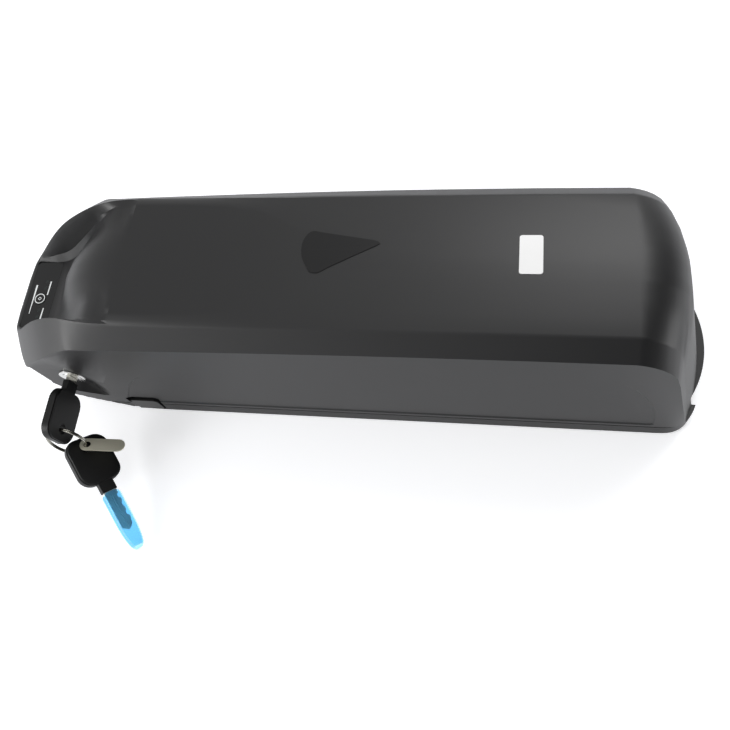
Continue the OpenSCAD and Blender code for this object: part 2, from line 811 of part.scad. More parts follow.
// Flat recess round the lock, with a slope that leads out of it
scoop_inner_shares = [
  [1.03, 0.42], [0.955, 0.46], [0.885, 0.53], [0.855, 0.51], [0.81, 0.3], [0.815, 0.27], [0.84, 0.28]
];
scoop_outer_shares = [
  [1.03, 0.47], [0.965, 0.55], [0.9, 0.7], [0.8, 0.78], [0.735, 0.7], [0.71, 0.45], [0.728, 0.26],
  [0.757, 0.2], [0.777, 0.198], [0.803, 0.216], [0.83, 0.24]
];
// Front part of the recess, which runs out through the lower edge
scoop_front_shares = [[1.03, -0.06], [1.03, 0.47], [0.96, 0.5], [0.89, 0.42], [0.885, -0.06]];
// Soft hollow that leads from the flat up to the shoulder
hollow_inner_shares = [[0.865, 0.5], [0.82, 0.3], [0.8, 0.42]];
hollow_outer_shares = [[0.9, 0.68], [0.8, 0.79], [0.69, 0.865], [0.61, 0.8], [0.65, 0.6], [0.71, 0.43]];
hollow_depth_share = 0.6;

module side_slice(y, shares) {
  translate([0, y, 0])
    rotate([90, 0, 0])
      linear_extrude(fit)
        polygon([for (p = shares) [-p[0] * nose_reach, p[1] * case_h]]);
}

module lock_scoop() {
  hull() {
    side_slice(-lock_face, scoop_inner_shares);
    side_slice(-half_w - cut / 2, scoop_outer_shares);
  }
  hull() {
    side_slice(-lock_face, scoop_front_shares);
    side_slice(-half_w - cut, scoop_front_shares);
  }
  hull() {
    side_slice(-half_w + (half_w - lock_face) * hollow_depth_share, hollow_inner_shares);
    side_slice(-half_w - cut / 4, hollow_outer_shares);
  }
}

lock_boss_share = 0.69;
lock_boss_top_share = 0.8;

module lock_boss() {
  block(
    [-nose_reach - cut, -half_w - cut, 0],
    [-nose_reach * lock_boss_share, -lock_face + wall, case_h * lock_boss_top_share]
  );
}

// Open gap above the cap and behind it
port_gap_top = 2.1;
port_gap_back = 0.7;

module charge_seat() {
  translate([-port_x + port_gap_back / 2, -half_w + cap_seat, port_z + port_gap_top / 2])
    rotate([90, 0, 0])
      round_plate(
        cap_len + run_gap * 2 + port_gap_back, cap_h + run_gap * 2 + port_gap_top, cap_corner, cap_seat + cut
      );
}

cap_corner = 2.5;

module socket_hole() {
  rod_y(-port_x, -half_w - cut, port_z, wall + socket_len + cut, socket_d + fit * 2);
}

roof_tail_gap = 15;
roof_tail = tail_reach - roof_tail_gap;

module channel_box() {
  block(
    [-channel_nose - channel_wall, -channel_half - channel_wall, split_z - cut],
    [roof_tail, channel_half + channel_wall, roof_z]
  );
}

module boss_ribs(low, high) {
  for (x = screw_places)
    for (s = [-1, 1])
      translate([x - boss_rib_t / 2, s > 0 ? screw_y : -half_w + wall / 2, low])
        cube([boss_rib_t, half_w - wall / 2 - screw_y, high - low]);
}

module screw_bosses(low, high, d) {
  for (x = screw_places)
    for (s = [-1, 1])
      translate([x, s * screw_y, low])
        cylinder(h = high - low, d = d);
}

light_places = [for (k = [0 : light_count - 1]) (k - (light_count - 1) / 2)];
light_pitch = 4.2;
light_gap = 4.9;
// The row of lights stands a little behind the button, above the middle of its board
light_row_gap = 1.2;
light_row_x = button_x - light_row_gap;
guide_d = 2.2;
function light_y(k) = display_y + k * light_pitch + sign(k) * light_gap;

board_post_d = 3;
button_seat = 1.2;

module board_posts() {
  for (sx = [-1, 1]) for (sy = [-1, 1])
    translate([-light_row_x + sx * board_len * 0.36, sy * board_half * 0.86, board_z + board_t + fit])
      cylinder(h = ledge_z - board_z, d = board_post_d);
}

module upper_shell() {
  color("dimgray")
    difference() {
      outer_form();
      block([-nose_reach - cut, -case_w, -cut], [tail_reach + cut, case_w, split_z]);
      difference() {
        hollow_form();
        lock_boss();
        board_posts();
        difference() {
          union() {
            screw_bosses(split_z - cut, boss_top, boss_d);
            boss_ribs(split_z - cut, boss_top);
          }
          screw_bosses(split_z - cut * 2, boss_top - wall, screw_d - fit * 2);
        }
      }
      block([tail_x, -channel_half, -cut], [tail_reach + cut, channel_half, channel_z]);
      side_panels();
      lock_scoop();
      charge_seat();
      socket_hole();
      rod_y(-lock_x, -half_w - cut, lock_z, half_w, barrel_d + fit * 2);
      rod_y(-lock_x, -half_w - cut, lock_z, half_w + cut - lock_face, rosette_d + run_gap * 2);
      translate([label_x, 0, ledge_z - label_t])
        round_plate(label_len + fit * 2, label_w + fit * 2, label_t * 4, label_t + cut);
      translate([-button_x, display_y, ledge_z - wall * 2])
        cylinder(h = wall * 2 + cut, d = button_stem_d + run_gap * 2);
      translate([-button_x, display_y, ledge_z - label_t - button_seat])
        cylinder(h = button_seat + cut, d = button_d + run_gap * 2);
      for (k = light_places)
        translate([-light_row_x, light_y(k), ledge_z - wall * 2])
          cylinder(h = wall * 2 + cut, d = guide_d + fit * 2);
    }
}

// Half section of the skirts, up to the parting plane
skirt_back = 0.8;
skirt_top = split_z - fit;
skirt_nose_share = sqrt(1 - pow(1 - (skirt_top - fit * 4) / bow_h, 2));
skirt_places = concat(
  [for (s = [1, 0.93, 0.84, 0.72, 0.58, 0.4, 0.2, 0]) -nose_reach + bow_len * (1 - s * skirt_nose_share)],
  [for (s = middle_station_shares) blend(-bulge_x, tail_x, s)],
  [for (s = tail_station_shares) tail_x + (tail_len - skirt_back) * s]
);
function skirt_half(x) =
  let (
    side = plan(x < tail_x ? x : tail_x + (x - tail_x) * tail_len / (tail_len - skirt_back)),
    low = bow(x),
    turn = min(lip_round, (skirt_top - low) * 0.4)
  )
  [
    [0, low], [side + lip_flare - turn, low], [side + lip_flare, low + turn],
    [side + lip_flare * turn / lip_round * 0.2, skirt_top], [0, skirt_top]
  ];

socket_rest = 6;

module lower_shell() {
  color("dimgray")
    difference() {
      union() {
        skin([for (x = skirt_places) whole_ring(x, skirt_half(x))]);
        channel_box();
      }
      difference() {
        block([-channel_nose, -channel_half, -cut], [tail_reach + cut, channel_half, channel_z]);
        hooks();
      }
      for (s = [-1, 1])
        difference() {
          side_tray(s);
          screw_bosses(0, split_z, boss_d + wall);
          block([-nose_reach, -half_w, 0], [-nose_reach * lock_boss_share, -lock_face + wall, split_z]);
          block(
            [-port_x - socket_rest * 1.5, -half_w, 0],
            [-port_x + socket_rest * 1.5, -half_w + wall + socket_rest, split_z]
          );
        }
      screw_bosses(-cut, split_z + cut, screw_d + fit * 2);
      screw_bosses(-cut, screw_head_z + screw_head_t, screw_head_d + fit * 4);
      seal_bars(fit / 2);
      charge_seat();
      socket_hole();
      lock_scoop();
      lock_lift();
      strike_hole(channel_z - cut, channel_roof + cut * 2, run_gap);
      block(
        [connector_front - fit, -connector_half - fit, channel_z - cut],
        [connector_front + connector_len + fit, connector_half + fit, roof_z + cut]
      );
    }
}

module hooks() {
  for (x = tab_places)
    for (s = [-1, 1])
      translate([x - tab_len / 2 + hook_gap_x, s > 0 ? hook_reach : -channel_half - cut, tab_z - hook_z_gap - hook_t])
        cube([tab_len - hook_gap_x * 2, channel_half - hook_reach + cut, hook_t]);
}

// Room between a skirt and the channel
module side_tray(s) {
  translate([0, 0, skirt_floor + skirt_z])
    linear_extrude(split_z)
      polygon(concat(
        [[tray_places[0], s * (channel_half + channel_wall)]],
        [for (x = tray_places) [x, s * (plan(x) - wall)]],
        [[tray_places[len(tray_places) - 1], s * (channel_half + channel_wall)]]
      ));
}

tray_place_shares = [-0.88, -0.8, -0.4, 0, 0.4, 0.8, 0.88];
tray_places = [for (s = tray_place_shares) s < 0 ? nose_reach * s : tail_reach * s];

// Bars in the parting plane, which stop short of the charge port
seal_left = -nose_reach * 0.6;
seal_right = -nose_reach * 0.82;
seal_tail = tail_reach * 0.84;

module seal_bars(grow) {
  for (s = [-1, 1])
    translate([
      (s > 0 ? seal_right : seal_left) - grow,
      s * (half_w - wall / 2) - seal_w / 2 - grow,
      split_z - seal_h - grow * 2
    ])
      cube([seal_tail - (s > 0 ? seal_right : seal_left) + grow * 2, seal_w + grow * 2, seal_h + grow * cut]);
}

module shell_seals() {
  color("black")
    seal_bars(0);
}

module shell_screws() {
  color("black") {
    screw_bosses(screw_head_z, screw_head_z + screw_head_t, screw_head_d);
    screw_bosses(screw_head_z + screw_head_t - fit, screw_top, screw_d - fit * 3);
  }
}

// Display on the nose ledge

button_stem_d = 4;
button_proud = 0.4;
board_z = 52;
board_half = 20;
board_len = 15;
switch_w = 6;
switch_h = 3.4;
switch_cap_d = 3;
led_w = 2;
led_h = 1.2;

module display_label() {
  color("black")
    difference() {
      translate([label_x, 0, ledge_z - label_t])
        round_plate(label_len, label_w, label_t * 4, label_t);
      translate([-button_x, display_y, ledge_z - label_t - cut])
        cylinder(h = label_t + cut * 2, d = button_d + run_gap * 2);
      for (k = light_places)
        translate([-light_row_x, light_y(k), ledge_z - label_t - cut])
          cylinder(h = label_t + cut * 2, d = guide_d + fit * 2);
    }
}

button_top = ledge_z + button_proud;
button_under = ledge_z - label_t - button_seat + button_travel + fit;
switch_top = board_z + board_t + switch_h;
button_low = switch_top + fit * 4 + button_travel + fit;

module power_button() {
  color("black")
    translate([-button_x, display_y, 0]) {
      translate([0, 0, button_under])
        cylinder(h = button_top - button_under, d = button_d);
      translate([0, 0, button_low])
        cylinder(h = button_under - button_low + fit, d = button_stem_d);
    }
}

module indicator_board() {
  color("darkgreen")
    block(
      [-light_row_x - board_len / 2, -board_half, board_z],
      [-light_row_x + board_len / 2, board_half, board_z + board_t]
    );
}

module button_switch() {
  color("gray") {
    translate([-button_x, display_y, board_z + board_t])
      round_plate(switch_w, switch_w, led_w / 4, switch_h - fit * 2);
    translate([-button_x, display_y, board_z + board_t])
      cylinder(h = switch_h + fit * 4, d = switch_cap_d);
  }
}

module charge_lights() {
  color("white")
    for (k = light_places)
      translate([-light_row_x, light_y(k), board_z + board_t])
        round_plate(led_w, led_w, led_w / 8, led_h);
}

module light_guides() {
  color("whitesmoke")
    for (k = light_places)
      translate([-light_row_x, light_y(k), board_z + board_t + led_h + fit])
        cylinder(h = ledge_z - board_z - board_t - led_h - fit, d = guide_d);
}

// Cell pack

cell_len_half = cell_len / 2;
cell_bore = cell_d + fit * 4;
holder_margin = 0.6;
pack_room = nose_reach + tail_reach - pack_nose_gap - pack_tail_gap;
pack_x = (pack_nose_gap - nose_reach + tail_reach - pack_tail_gap) / 2;
pack_z = roof_z + fit;
pack_rise = crease_z - wall - board_room - pack_z;
cell_columns = floor((pack_room - holder_margin * 2) / cell_pitch);
cell_rows = floor((pack_rise - holder_margin * 2) / cell_pitch);
pack_h = cell_rows * cell_pitch + holder_margin * 2;
pack_len = cell_columns * cell_pitch + holder_margin * 2;
pack_top = pack_z + pack_h;
function cell_x(i) = pack_x + (i - (cell_columns - 1) / 2) * cell_pitch;
function cell_z(j) = pack_z + holder_margin + (j + 0.5) * cell_pitch;
window_w = 5;

module cell_holder(s) {
  color("black")
    difference() {
      translate([pack_x - pack_len / 2, s > 0 ? cell_len_half - holder_t : -cell_len_half, pack_z])
        cube([pack_len, holder_t, pack_h]);
      for (i = [0 : cell_columns - 1])
        for (j = [0 : cell_rows - 1])
          rod_y(cell_x(i), -cell_len, cell_z(j), cell_len * 2, cell_bore);
    }
}

module cell_holder_left() {
  cell_holder(-1);
}

module cell_holder_right() {
  cell_holder(1);
}

module cells() {
  color("steelblue")
    for (i = [0 : cell_columns - 1])
      for (j = [0 : cell_rows - 1])
        rod_y(cell_x(i), -cell_len_half, cell_z(j), cell_len, cell_d);
}

module nickel_group(from, to, s) {
  y = s > 0 ? cell_len_half : -cell_len_half - nickel_t;
  for (i = [from : to])
    translate([cell_x(i) - nickel_w / 2, y, cell_z(0) - nickel_w / 2])
      cube([nickel_w, nickel_t, (cell_rows - 1) * cell_pitch + nickel_w]);
  for (j = [0 : cell_rows - 1])
    translate([cell_x(from) - nickel_w / 2, y, cell_z(j) - nickel_w / 2])
      cube([(to - from) * cell_pitch + nickel_w, nickel_t, nickel_w]);
}

module nickel_left() {
  color("silver")
    for (i = [0 : 2 : cell_columns - 1])
      nickel_group(i, min(i + 1, cell_columns - 1), -1);
}

module nickel_right() {
  color("silver") {
    nickel_group(0, 0, 1);
    for (i = [1 : 2 : cell_columns - 1])
      nickel_group(i, min(i + 1, cell_columns - 1), 1);
  }
}

sheet_t = 0.4;

module insulation_sheets() {
  color("darkseagreen")
    for (s = [-1, 1])
      translate([pack_x - pack_len / 2, s > 0 ? cell_len_half + nickel_t + fit : -cell_len_half - nickel_t - fit - sheet_t, pack_z])
        cube([pack_len, sheet_t, pack_h]);
}

foam_len = 24;
foam_w = 7;
foam_inset = 4.25;
foam_y = crease_w / 2 - foam_w / 2 - foam_inset;
foam_places_share = [-0.4, 0.32];

module foam_pads() {
  color("black")
    for (s = [-1, 1])
      for (q = foam_places_share)
        translate([
          pack_x + q * pack_len - foam_len / 2,
          s * foam_y - foam_w / 2,
          pack_top + fit
        ])
          cube([foam_len, foam_w, crease_z - wall - pack_top - fit * 2]);
}

// Electronics on top of the pack

bms_shift = 27.5;
bms_x = pack_x - bms_shift;
bms_z = pack_top + fit;
bms_top = bms_z + board_t;
mos_count = 6;
mos_pitch = 13;
mos_size = [10, 9, 4.4];
spreader_t = 1.5;
spreader_w = 14;
port_block = [14, 8, 7];

module bms_board() {
  color("darkgreen")
    block([bms_x - bms_len / 2, -bms_w / 2, bms_z], [bms_x + bms_len / 2, bms_w / 2, bms_top]);
}

module bms_parts() {
  color("dimgray") {
    for (k = [0 : mos_count - 1])
      translate([bms_x + (k - (mos_count - 1) / 2) * mos_pitch - mos_size[0] / 2, -bms_w * 0.3, bms_top])
        cube(mos_size);
    for (s = [-1, 1])
      translate([bms_x + s * bms_len * 0.4 - port_block[0] / 2, bms_w * 0.2, bms_top])
        cube(port_block);
    for (k = [0 : mos_count - 1])
      translate([bms_x + (k - (mos_count - 1) / 2) * mos_pitch, 0, bms_top])
        cylinder(h = mos_size[2] * 0.7, d = mos_size[2]);
  }
}

module heat_spreader() {
  color("silver")
    translate([bms_x - mos_count * mos_pitch / 2, -bms_w * 0.3 - (spreader_w - mos_size[1]) / 2, bms_top + mos_size[2]])
      cube([mos_count * mos_pitch, spreader_w, spreader_t]);
}

fuse_len = 20;
fuse_x = pack_x + foam_places_share[1] * pack_len - foam_len / 2 - fuse_len - fit * 4;
fuse_w = 8;
fuse_base_h = 6;
fuse_h = 9;
fuse_t = 4;
fuse_y = cell_len_half - holder_t / 2;

module fuse_holder() {
  color("black")
    difference() {
      translate([fuse_x, fuse_y - fuse_w / 2, pack_top + fit])
        cube([fuse_len, fuse_w, fuse_base_h]);
      translate([fuse_x + fuse_w / 4, fuse_y - fuse_t / 2 - fit, pack_top + fuse_base_h / 2])
        cube([fuse_len - fuse_w / 2, fuse_t + fit * 2, fuse_base_h]);
    }
}

module fuse() {
  color("orange")
    translate([fuse_x + fuse_w / 4 + fit, fuse_y - fuse_t / 2, pack_top + fuse_base_h / 2 + fit])
      cube([fuse_len - fuse_w / 2 - fit * 2, fuse_t, fuse_h]);
}

lead_z = bms_top + lead_d / 2 + fit;
lead_y = 9;

drop_x = connector_front + connector_len / 2;
drop_d = small_lead_d;
drop_z = bms_top + small_lead_d / 2 + fit;

module discharge_leads() {
  color("red")
    for (s = [-1, 1])
      tube([
        [bms_x + bms_len / 2 - lead_d * 1.5, s * lead_y, lead_z],
        [bms_x + bms_len / 2 + lead_d * 1.5, s * lead_y, lead_z],
        [drop_x - lead_d * 7.5, s * lead_y, lead_z],
        [drop_x - lead_d * 2.5, s * lead_y, lead_z],
        [drop_x - lead_d, s * lead_y, lead_z - lead_d * 0.75],
        [drop_x - lead_d * 0.25, s * lead_y, lead_z - lead_d * 2.25],
        [drop_x, s * lead_y, lead_z - lead_d * 5],
        [drop_x, s * lead_y, roof_z + connector_rise + fit]
      ], lead_d);
}

module charge_lead() {
  color("yellow")
    tube([
      [bms_x - bms_len / 2 + drop_d * 2.5, -lead_y * 2, drop_z],
      [bms_x - bms_len / 2 - drop_d * 2.5, -lead_y * 2, drop_z],
      [-port_x + drop_d * 8.5, -lead_y * 2, drop_z],
      [-port_x + drop_d * 5.2, -lead_y * 2, bms_top],
      [-port_x + drop_d * 3.3, -lead_y * 2.1, pack_top - drop_d * 1.7],
      [-port_x + drop_d * 2.9, -lead_y * 2.4, pack_top - drop_d * 5],
      [-port_x + drop_d * 2.9, -lead_y * 3.3, pack_top - drop_d * 11.7],
      [-port_x + drop_d * 2.3, -lead_y * 4.1, port_z + drop_d * 12.5],
      [-port_x, -socket_back, port_z + drop_d * 7.5],
      [-port_x, -socket_back, port_z + socket_d / 2 - fit * 4]
    ], small_lead_d);
}

module display_lead() {
  color("white")
    tube([
      [bms_x - bms_len / 2 + drop_d * 1.7, lead_y, drop_z],
      [bms_x - bms_len / 2 - drop_d * 3.3, lead_y, drop_z],
      [-bulge_x - drop_d * 2.9, lead_y, bms_top + small_lead_d / 2],
      [-bulge_x - drop_d * 5.8, lead_y, pack_top - drop_d * 0.8],
      [-bulge_x - drop_d * 7.9, lead_y, pack_top - drop_d * 5],
      [-bulge_x - drop_d * 12.1, lead_y, board_z - drop_d * 2.5],
      [-button_x + drop_d * 10.6, lead_y, board_z - drop_d * 2.9],
      [-light_row_x + board_len / 2 + drop_d * 1.25, lead_y, board_z - drop_d * 2.1],
      [-button_x + drop_d * 1.25, lead_y, board_z - small_lead_d / 2 - fit]
    ], small_lead_d);
}

// Connector that hangs in the channel and meets the cradle's blades

connector_low = 7.6;
connector_rise = 4;
contact_t = 0.5;
contact_len = 11;
contact_gap = 0.3;
pocket_h = 4;

module discharge_connector() {
  color("black")
    difference() {
      block(
        [connector_front, -connector_half, connector_low],
        [connector_front + connector_len - run_gap, connector_half, roof_z + connector_rise]
      );
      for (s = blade_places_share)
        translate([
          connector_front + wall,
          s * block_w - terminal_blade_w / 2 - run_gap * 2,
          terminal_z - pocket_h / 2
        ])
          cube([connector_len + cut, terminal_blade_w + run_gap * 4, pocket_h]);
    }
}

module discharge_contacts() {
  color("gold")
    for (s = blade_places_share)
      for (side = [-1, 1])
        translate([
          connector_front + wall + fit,
          s * block_w - terminal_blade_w / 2,
          terminal_z + side * (terminal_blade_t / 2 + contact_gap + contact_t / 2) - contact_t / 2
        ])
          cube([contact_len, terminal_blade_w, contact_t]);
}

// Charge port low on the lock side

socket_front = half_w - cap_seat - fit;
socket_back = socket_front - socket_len * 0.6;
pin_d = 2.1;
pin_back = 3;
socket_floor = 1.6;

module charge_socket() {
  color("black")
    difference() {
      rod_y(-port_x, -socket_front, port_z, socket_len, socket_d);
      rod_y(-port_x, -socket_front - cut, port_z, socket_len - socket_floor + cut, socket_bore);
      rod_y(-port_x, -socket_front, port_z, socket_len + cut, pin_d);
      translate([-port_x, -socket_back, port_z + socket_d / 2 - fit * 4])
        cylinder(h = cut, d = small_lead_d + fit * 2);
    }
}

module charge_pin() {
  color("gold")
    rod_y(-port_x, -socket_front + pin_back, port_z, socket_len - pin_back, pin_d - fit * 0.2);
}

cap_hinge_r = cap_t / 2;
cap_plug_d = 6.6;
cap_plug_len = 1.9;
cap_hinge_x = -port_x - cap_len / 2 + cap_hinge_r;
cap_back = half_w - cap_seat + fit * 2;
cap_knuckle = cap_h - cap_corner * 2;

module charge_cap() {
  color("black")
    difference() {
      union() {
        intersection() {
          translate([-port_x, -cap_back, port_z])
            rotate([90, 0, 0])
              round_plate(cap_len, cap_h, cap_corner, cap_t);
          union() {
            block([cap_hinge_x + cap_corner - cap_hinge_r, -case_w, -cut], [0, 0, case_h]);
            block([cap_hinge_x, -case_w, port_z - cap_knuckle / 2], [0, 0, port_z + cap_knuckle / 2]);
          }
        }
        translate([cap_hinge_x, -cap_back - cap_hinge_r, port_z - cap_knuckle / 2])
          cylinder(h = cap_knuckle, d = cap_t);
        rod_y(-port_x, -cap_back - fit, port_z, cap_plug_len + fit, cap_plug_d);
      }
      rod_y(-port_x, -cap_back + fit, port_z, cap_plug_len + cut, cap_plug_d * 0.6);
    }
}

// Lock with a crank that lowers the bolt

rosette_t = 1.2;
barrel_len = 18;
nut_d = 18;
nut_t = 2.6;
plug_gap = 0.05;
plug_flange_d = 12;
crank_t = 2;
crank_len = 5.2;
crank_angle = 45;
keyway_gap = 0.3;
bolt_rest = channel_z + fit * 3;
bolt_plate_h = 15;
bolt_plate_w = 17;
bolt_slot_gap = 0.35;
barrel_front = lock_face + rosette_t + fit;
plug_back = barrel_front - plug_len;
crank_z = lock_z + crank_r * sin(crank_angle);
crank_x = -lock_x + crank_r * cos(crank_angle);

module lock_barrel() {
  color("silver")
    difference() {
      union() {
        rod_y(-lock_x, -barrel_front, lock_z, rosette_t, rosette_d);
        rod_y(-lock_x, -barrel_front, lock_z, barrel_len, barrel_d);
      }
      rod_y(-lock_x, -barrel_front - cut, lock_z, barrel_len + cut * 2, plug_d + plug_gap * 2);
    }
}

module lock_nut() {
  color("gray")
    difference() {
      rod_y(-lock_x, -lock_face + wall + fit, lock_z, nut_t, nut_d, $fn = 6);
      rod_y(-lock_x, -lock_face, lock_z, wall + nut_t * 2, barrel_d + fit * 2);
    }
}

module lock_plug() {
  color("lightgray")
    difference() {
      union() {
        rod_y(-lock_x, -barrel_front - fit, lock_z, plug_len + fit, plug_d);
        rod_y(-lock_x, -plug_back - fit, lock_z, crank_t + fit, crank_r * 2 + crank_pin_d);
        rod_y(crank_x, -plug_back, crank_z, crank_t + crank_len, crank_pin_d);
      }
      translate([-lock_x - blade_t / 2 - keyway_gap, -barrel_front - cut, lock_z - blade_h / 2 - keyway_gap])
        cube([blade_t + keyway_gap * 2, plug_len - crank_t + cut, blade_h + keyway_gap * 2]);
    }
}

module lock_bolt() {
  color("silver")
    difference() {
      union() {
        translate([-lock_x - bolt_plate_w / 2, -bolt_y - bolt_t / 2, crank_z - bolt_plate_h / 2])
          cube([bolt_plate_w, bolt_t, bolt_plate_h]);
        block(
          [-lock_x - bolt_w / 2, -bolt_y - bolt_t / 2, bolt_rest],
          [-lock_x + bolt_w / 2, -bolt_y + bolt_t / 2, crank_z]
        );
      }
      for (s = [-1, 1])
        rod_y(crank_x + s * crank_pin_d * 0.7, -bolt_y - bolt_t, crank_z, bolt_t * 2, crank_pin_d + bolt_slot_gap * 2);
      block(
        [crank_x - crank_pin_d * 0.7, -bolt_y - bolt_t, crank_z - crank_pin_d / 2 - bolt_slot_gap],
        [crank_x + crank_pin_d * 0.7, -bolt_y + bolt_t, crank_z + crank_pin_d / 2 + bolt_slot_gap]
      );
    }
}

// Stickers that follow the crowned top

decal_t = 0.25;
decal_x = 5.4;
decal_y = 3.4;
decal_len = 37.6;
decal_w = 22.8;
sticker_x = 93;
sticker_y = 2.5;
sticker_len = 10.4;
sticker_w = 20;
sticker_r = 1.2;

// Thin sheet on the crown, given by its two X edges at each Y
function crown_z(x, y) = case_h - crown_drop(x, abs(y)) + fit / 2;
module crown_sheet(rows) {
  skin([for (r = rows)
    let (y = r[0], near = crown_z(r[1], y), far = crown_z(r[2], y))
    [[r[1], y, near + decal_t], [r[2], y, far + decal_t], [r[2], y, far], [r[1], y, near]]]);
}

decal_rows_shares = [
  [-0.5, -0.316, -0.25], [-0.47, -0.362, -0.213], [-0.368, -0.4, -0.117], [-0.237, -0.447, 0.03],
  [-0.105, -0.481, 0.175], [0.026, -0.497, 0.32], [0.158, -0.5, 0.463], [0.2, -0.497, 0.5],
  [0.246, -0.492, 0.48], [0.28, -0.487, 0.425], [0.355, -0.468, 0.155], [0.42, -0.447, -0.09],
  [0.478, -0.41, -0.29], [0.5, -0.378, -0.343]
];
corner_steps = 4;

module top_decal() {
  color("black")
    crown_sheet([for (r = decal_rows_shares)
      [decal_y + r[0] * decal_w, decal_x + r[1] * decal_len, decal_x + r[2] * decal_len]]);
}

module top_sticker() {
  turns = [for (k = [0 : corner_steps]) 90 * k / corner_steps];
  color("white")
    crown_sheet(concat(
      [for (a = turns)
        let (x = sticker_len / 2 - sticker_r + sticker_r * sin(a))
        [sticker_y - sticker_w / 2 + sticker_r * (1 - cos(a)), sticker_x - x, sticker_x + x]],
      [for (s = [-0.25, 0, 0.25])
        [sticker_y + s * sticker_w, sticker_x - sticker_len / 2, sticker_x + sticker_len / 2]],
      [for (k = [corner_steps : -1 : 0])
        let (a = turns[k], x = sticker_len / 2 - sticker_r + sticker_r * sin(a))
        [sticker_y + sticker_w / 2 - sticker_r * (1 - cos(a)), sticker_x - x, sticker_x + x]]
    ));
}

// Keys: the key's own frame has the ring hole at its origin and the blade along +X

bit_share = [0.35, 0, 0.3, 0.12, 0.42, 0.05, 0.25];
bit_depth = 3.2;
tip_share = 0.5;
neck_w = 9;
groove_t = 0.6;
head_edge = 0.9;

function key_shoulder() = head_len - hole_back;

module key_blade_form(len) {
  start = key_shoulder() - neck_len;
  end = key_shoulder() + neck_len + len;
  first = key_shoulder() + neck_len + bit_depth;
  step = (end - first - bit_depth) / len(bit_share);
  difference() {
    translate([0, 0, -blade_t / 2])
      linear_extrude(blade_t)
        polygon(concat(
          [[start, -blade_h / 2], [end - bit_depth, -blade_h / 2], [end, 0], [end - bit_depth / 2, blade_h * 0.2]],
          [for (k = [len(bit_share) - 1 : -1 : 0])
            for (half = [1, 0])
              [first + (k + half * 0.55 + 0.2) * step, blade_h / 2 - bit_share[k] * bit_depth]],
          [[first, blade_h / 2], [start, blade_h / 2]]
        ));
    translate([first, -blade_h * 0.18, blade_t / 2 - groove_t])
      cube([len, blade_h * 0.16, blade_t]);
  }
}

module key_head_form() {
  difference() {
    union() {
      translate([head_len / 2 - hole_back, 0, -head_t / 2])
        round_plate(head_len, head_w - head_edge * 2, head_r, head_t);
      translate([head_len / 2 - hole_back, 0, -head_t / 2 + head_edge])
        round_plate(head_len + head_edge, head_w, head_r + head_edge / 2, head_t - head_edge * 2);
      translate([key_shoulder() - head_edge, -neck_w / 2, -head_t / 2 + head_edge])
        cube([neck_len + head_edge, neck_w, head_t - head_edge * 2]);
    }
    translate([0, 0, -head_t])
      cylinder(h = head_t * 2, d = ring_hole_d);
    translate([key_shoulder() - neck_len - fit, -blade_h / 2 - fit / 2, -blade_t / 2 - fit / 2])
      cube([neck_len * 2 + cut * 2, blade_h + fit, blade_t + fit]);
  }
}

// The key in the lock: its neck stops short of the lock face
key_stand = 3;
key_y = -barrel_front - key_stand - neck_len - key_shoulder();

module in_lock() {
  translate([-lock_x, key_y, lock_z])
    rotate([0, -90, 0])
      rotate([0, 0, 90])
        children();
}

lock_blade_len = plug_len - crank_t + key_stand - 1.5;

module key_blade() {
  color("silver")
    in_lock()
      key_blade_form(lock_blade_len);
}

module key_head() {
  color("black")
    in_lock()
      key_head_form();
}

// The ring hangs from the key's hole and leans outwards
ring_lean = 18;
ring_hang = [0, -sin(ring_lean), -cos(ring_lean)];
ring_top = [-lock_x, key_y, lock_z];
ring_mid = ring_top + ring_hang * ring_r;
function ring_point(a) = ring_mid + ring_r * (sin(a) * [1, 0, 0] + cos(a) * ring_hang);
function ring_tangent(a) = cos(a) * [1, 0, 0] - sin(a) * ring_hang;

module key_ring() {
  color("silver")
    translate(ring_mid)
      rotate([-ring_lean, 0, 0])
        rotate([90, 0, 0])
          rotate_extrude($fn = 64)
            translate([ring_r, 0])
              circle(d = ring_wire, $fn = 20);
}

// Puts a piece with its hole at the origin on the ring, facing along the ring's wire
module on_ring(angle, aim) {
  n = ring_tangent(angle);
  u = unit(aim - (aim * n) * n);
  v = cross(n, u);
  p = ring_point(angle);
  multmatrix([
    [u[0], v[0], n[0], p[0]],
    [u[1], v[1], n[1], p[1]],
    [u[2], v[2], n[2], p[2]]
  ])
    children();
}

spare_angle = 50;
spare_aim = [0.58, -0.77, -0.235];
tag_angle = 78;
tag_aim = [0.953, 0.072, -0.292];
tag_hole_d = 4;
tag_hole_back = 4;
spare_blade_len = blade_len;

module spare_key_blade() {
  color("silver")
    on_ring(spare_angle, spare_aim)
      key_blade_form(spare_blade_len);
}

module spare_key_head() {
  color("black")
    on_ring(spare_angle, spare_aim)
      key_head_form();
}

sleeve_wall = 0.5;
sleeve_end = 2.5;
sleeve_start = key_shoulder() + neck_len + run_gap;

module sleeve_form(grow, from, to) {
  w = sleeve_w + grow * 2;
  t = sleeve_t + grow * 2;
  translate([(from + to) / 2, 0, -t / 2])
    round_plate(to - from, w, w * 0.3, t);
}

module spare_key_sleeve() {
  color("deepskyblue")
    on_ring(spare_angle, spare_aim)
      difference() {
        sleeve_form(0, sleeve_start, key_shoulder() + neck_len + spare_blade_len + sleeve_end);
        translate([sleeve_start - cut, -sleeve_w / 2 + sleeve_wall, -sleeve_t / 2 + sleeve_wall])
          cube([spare_blade_len + cut + fit, sleeve_w - sleeve_wall * 2, sleeve_t - sleeve_wall * 2]);
      }
}

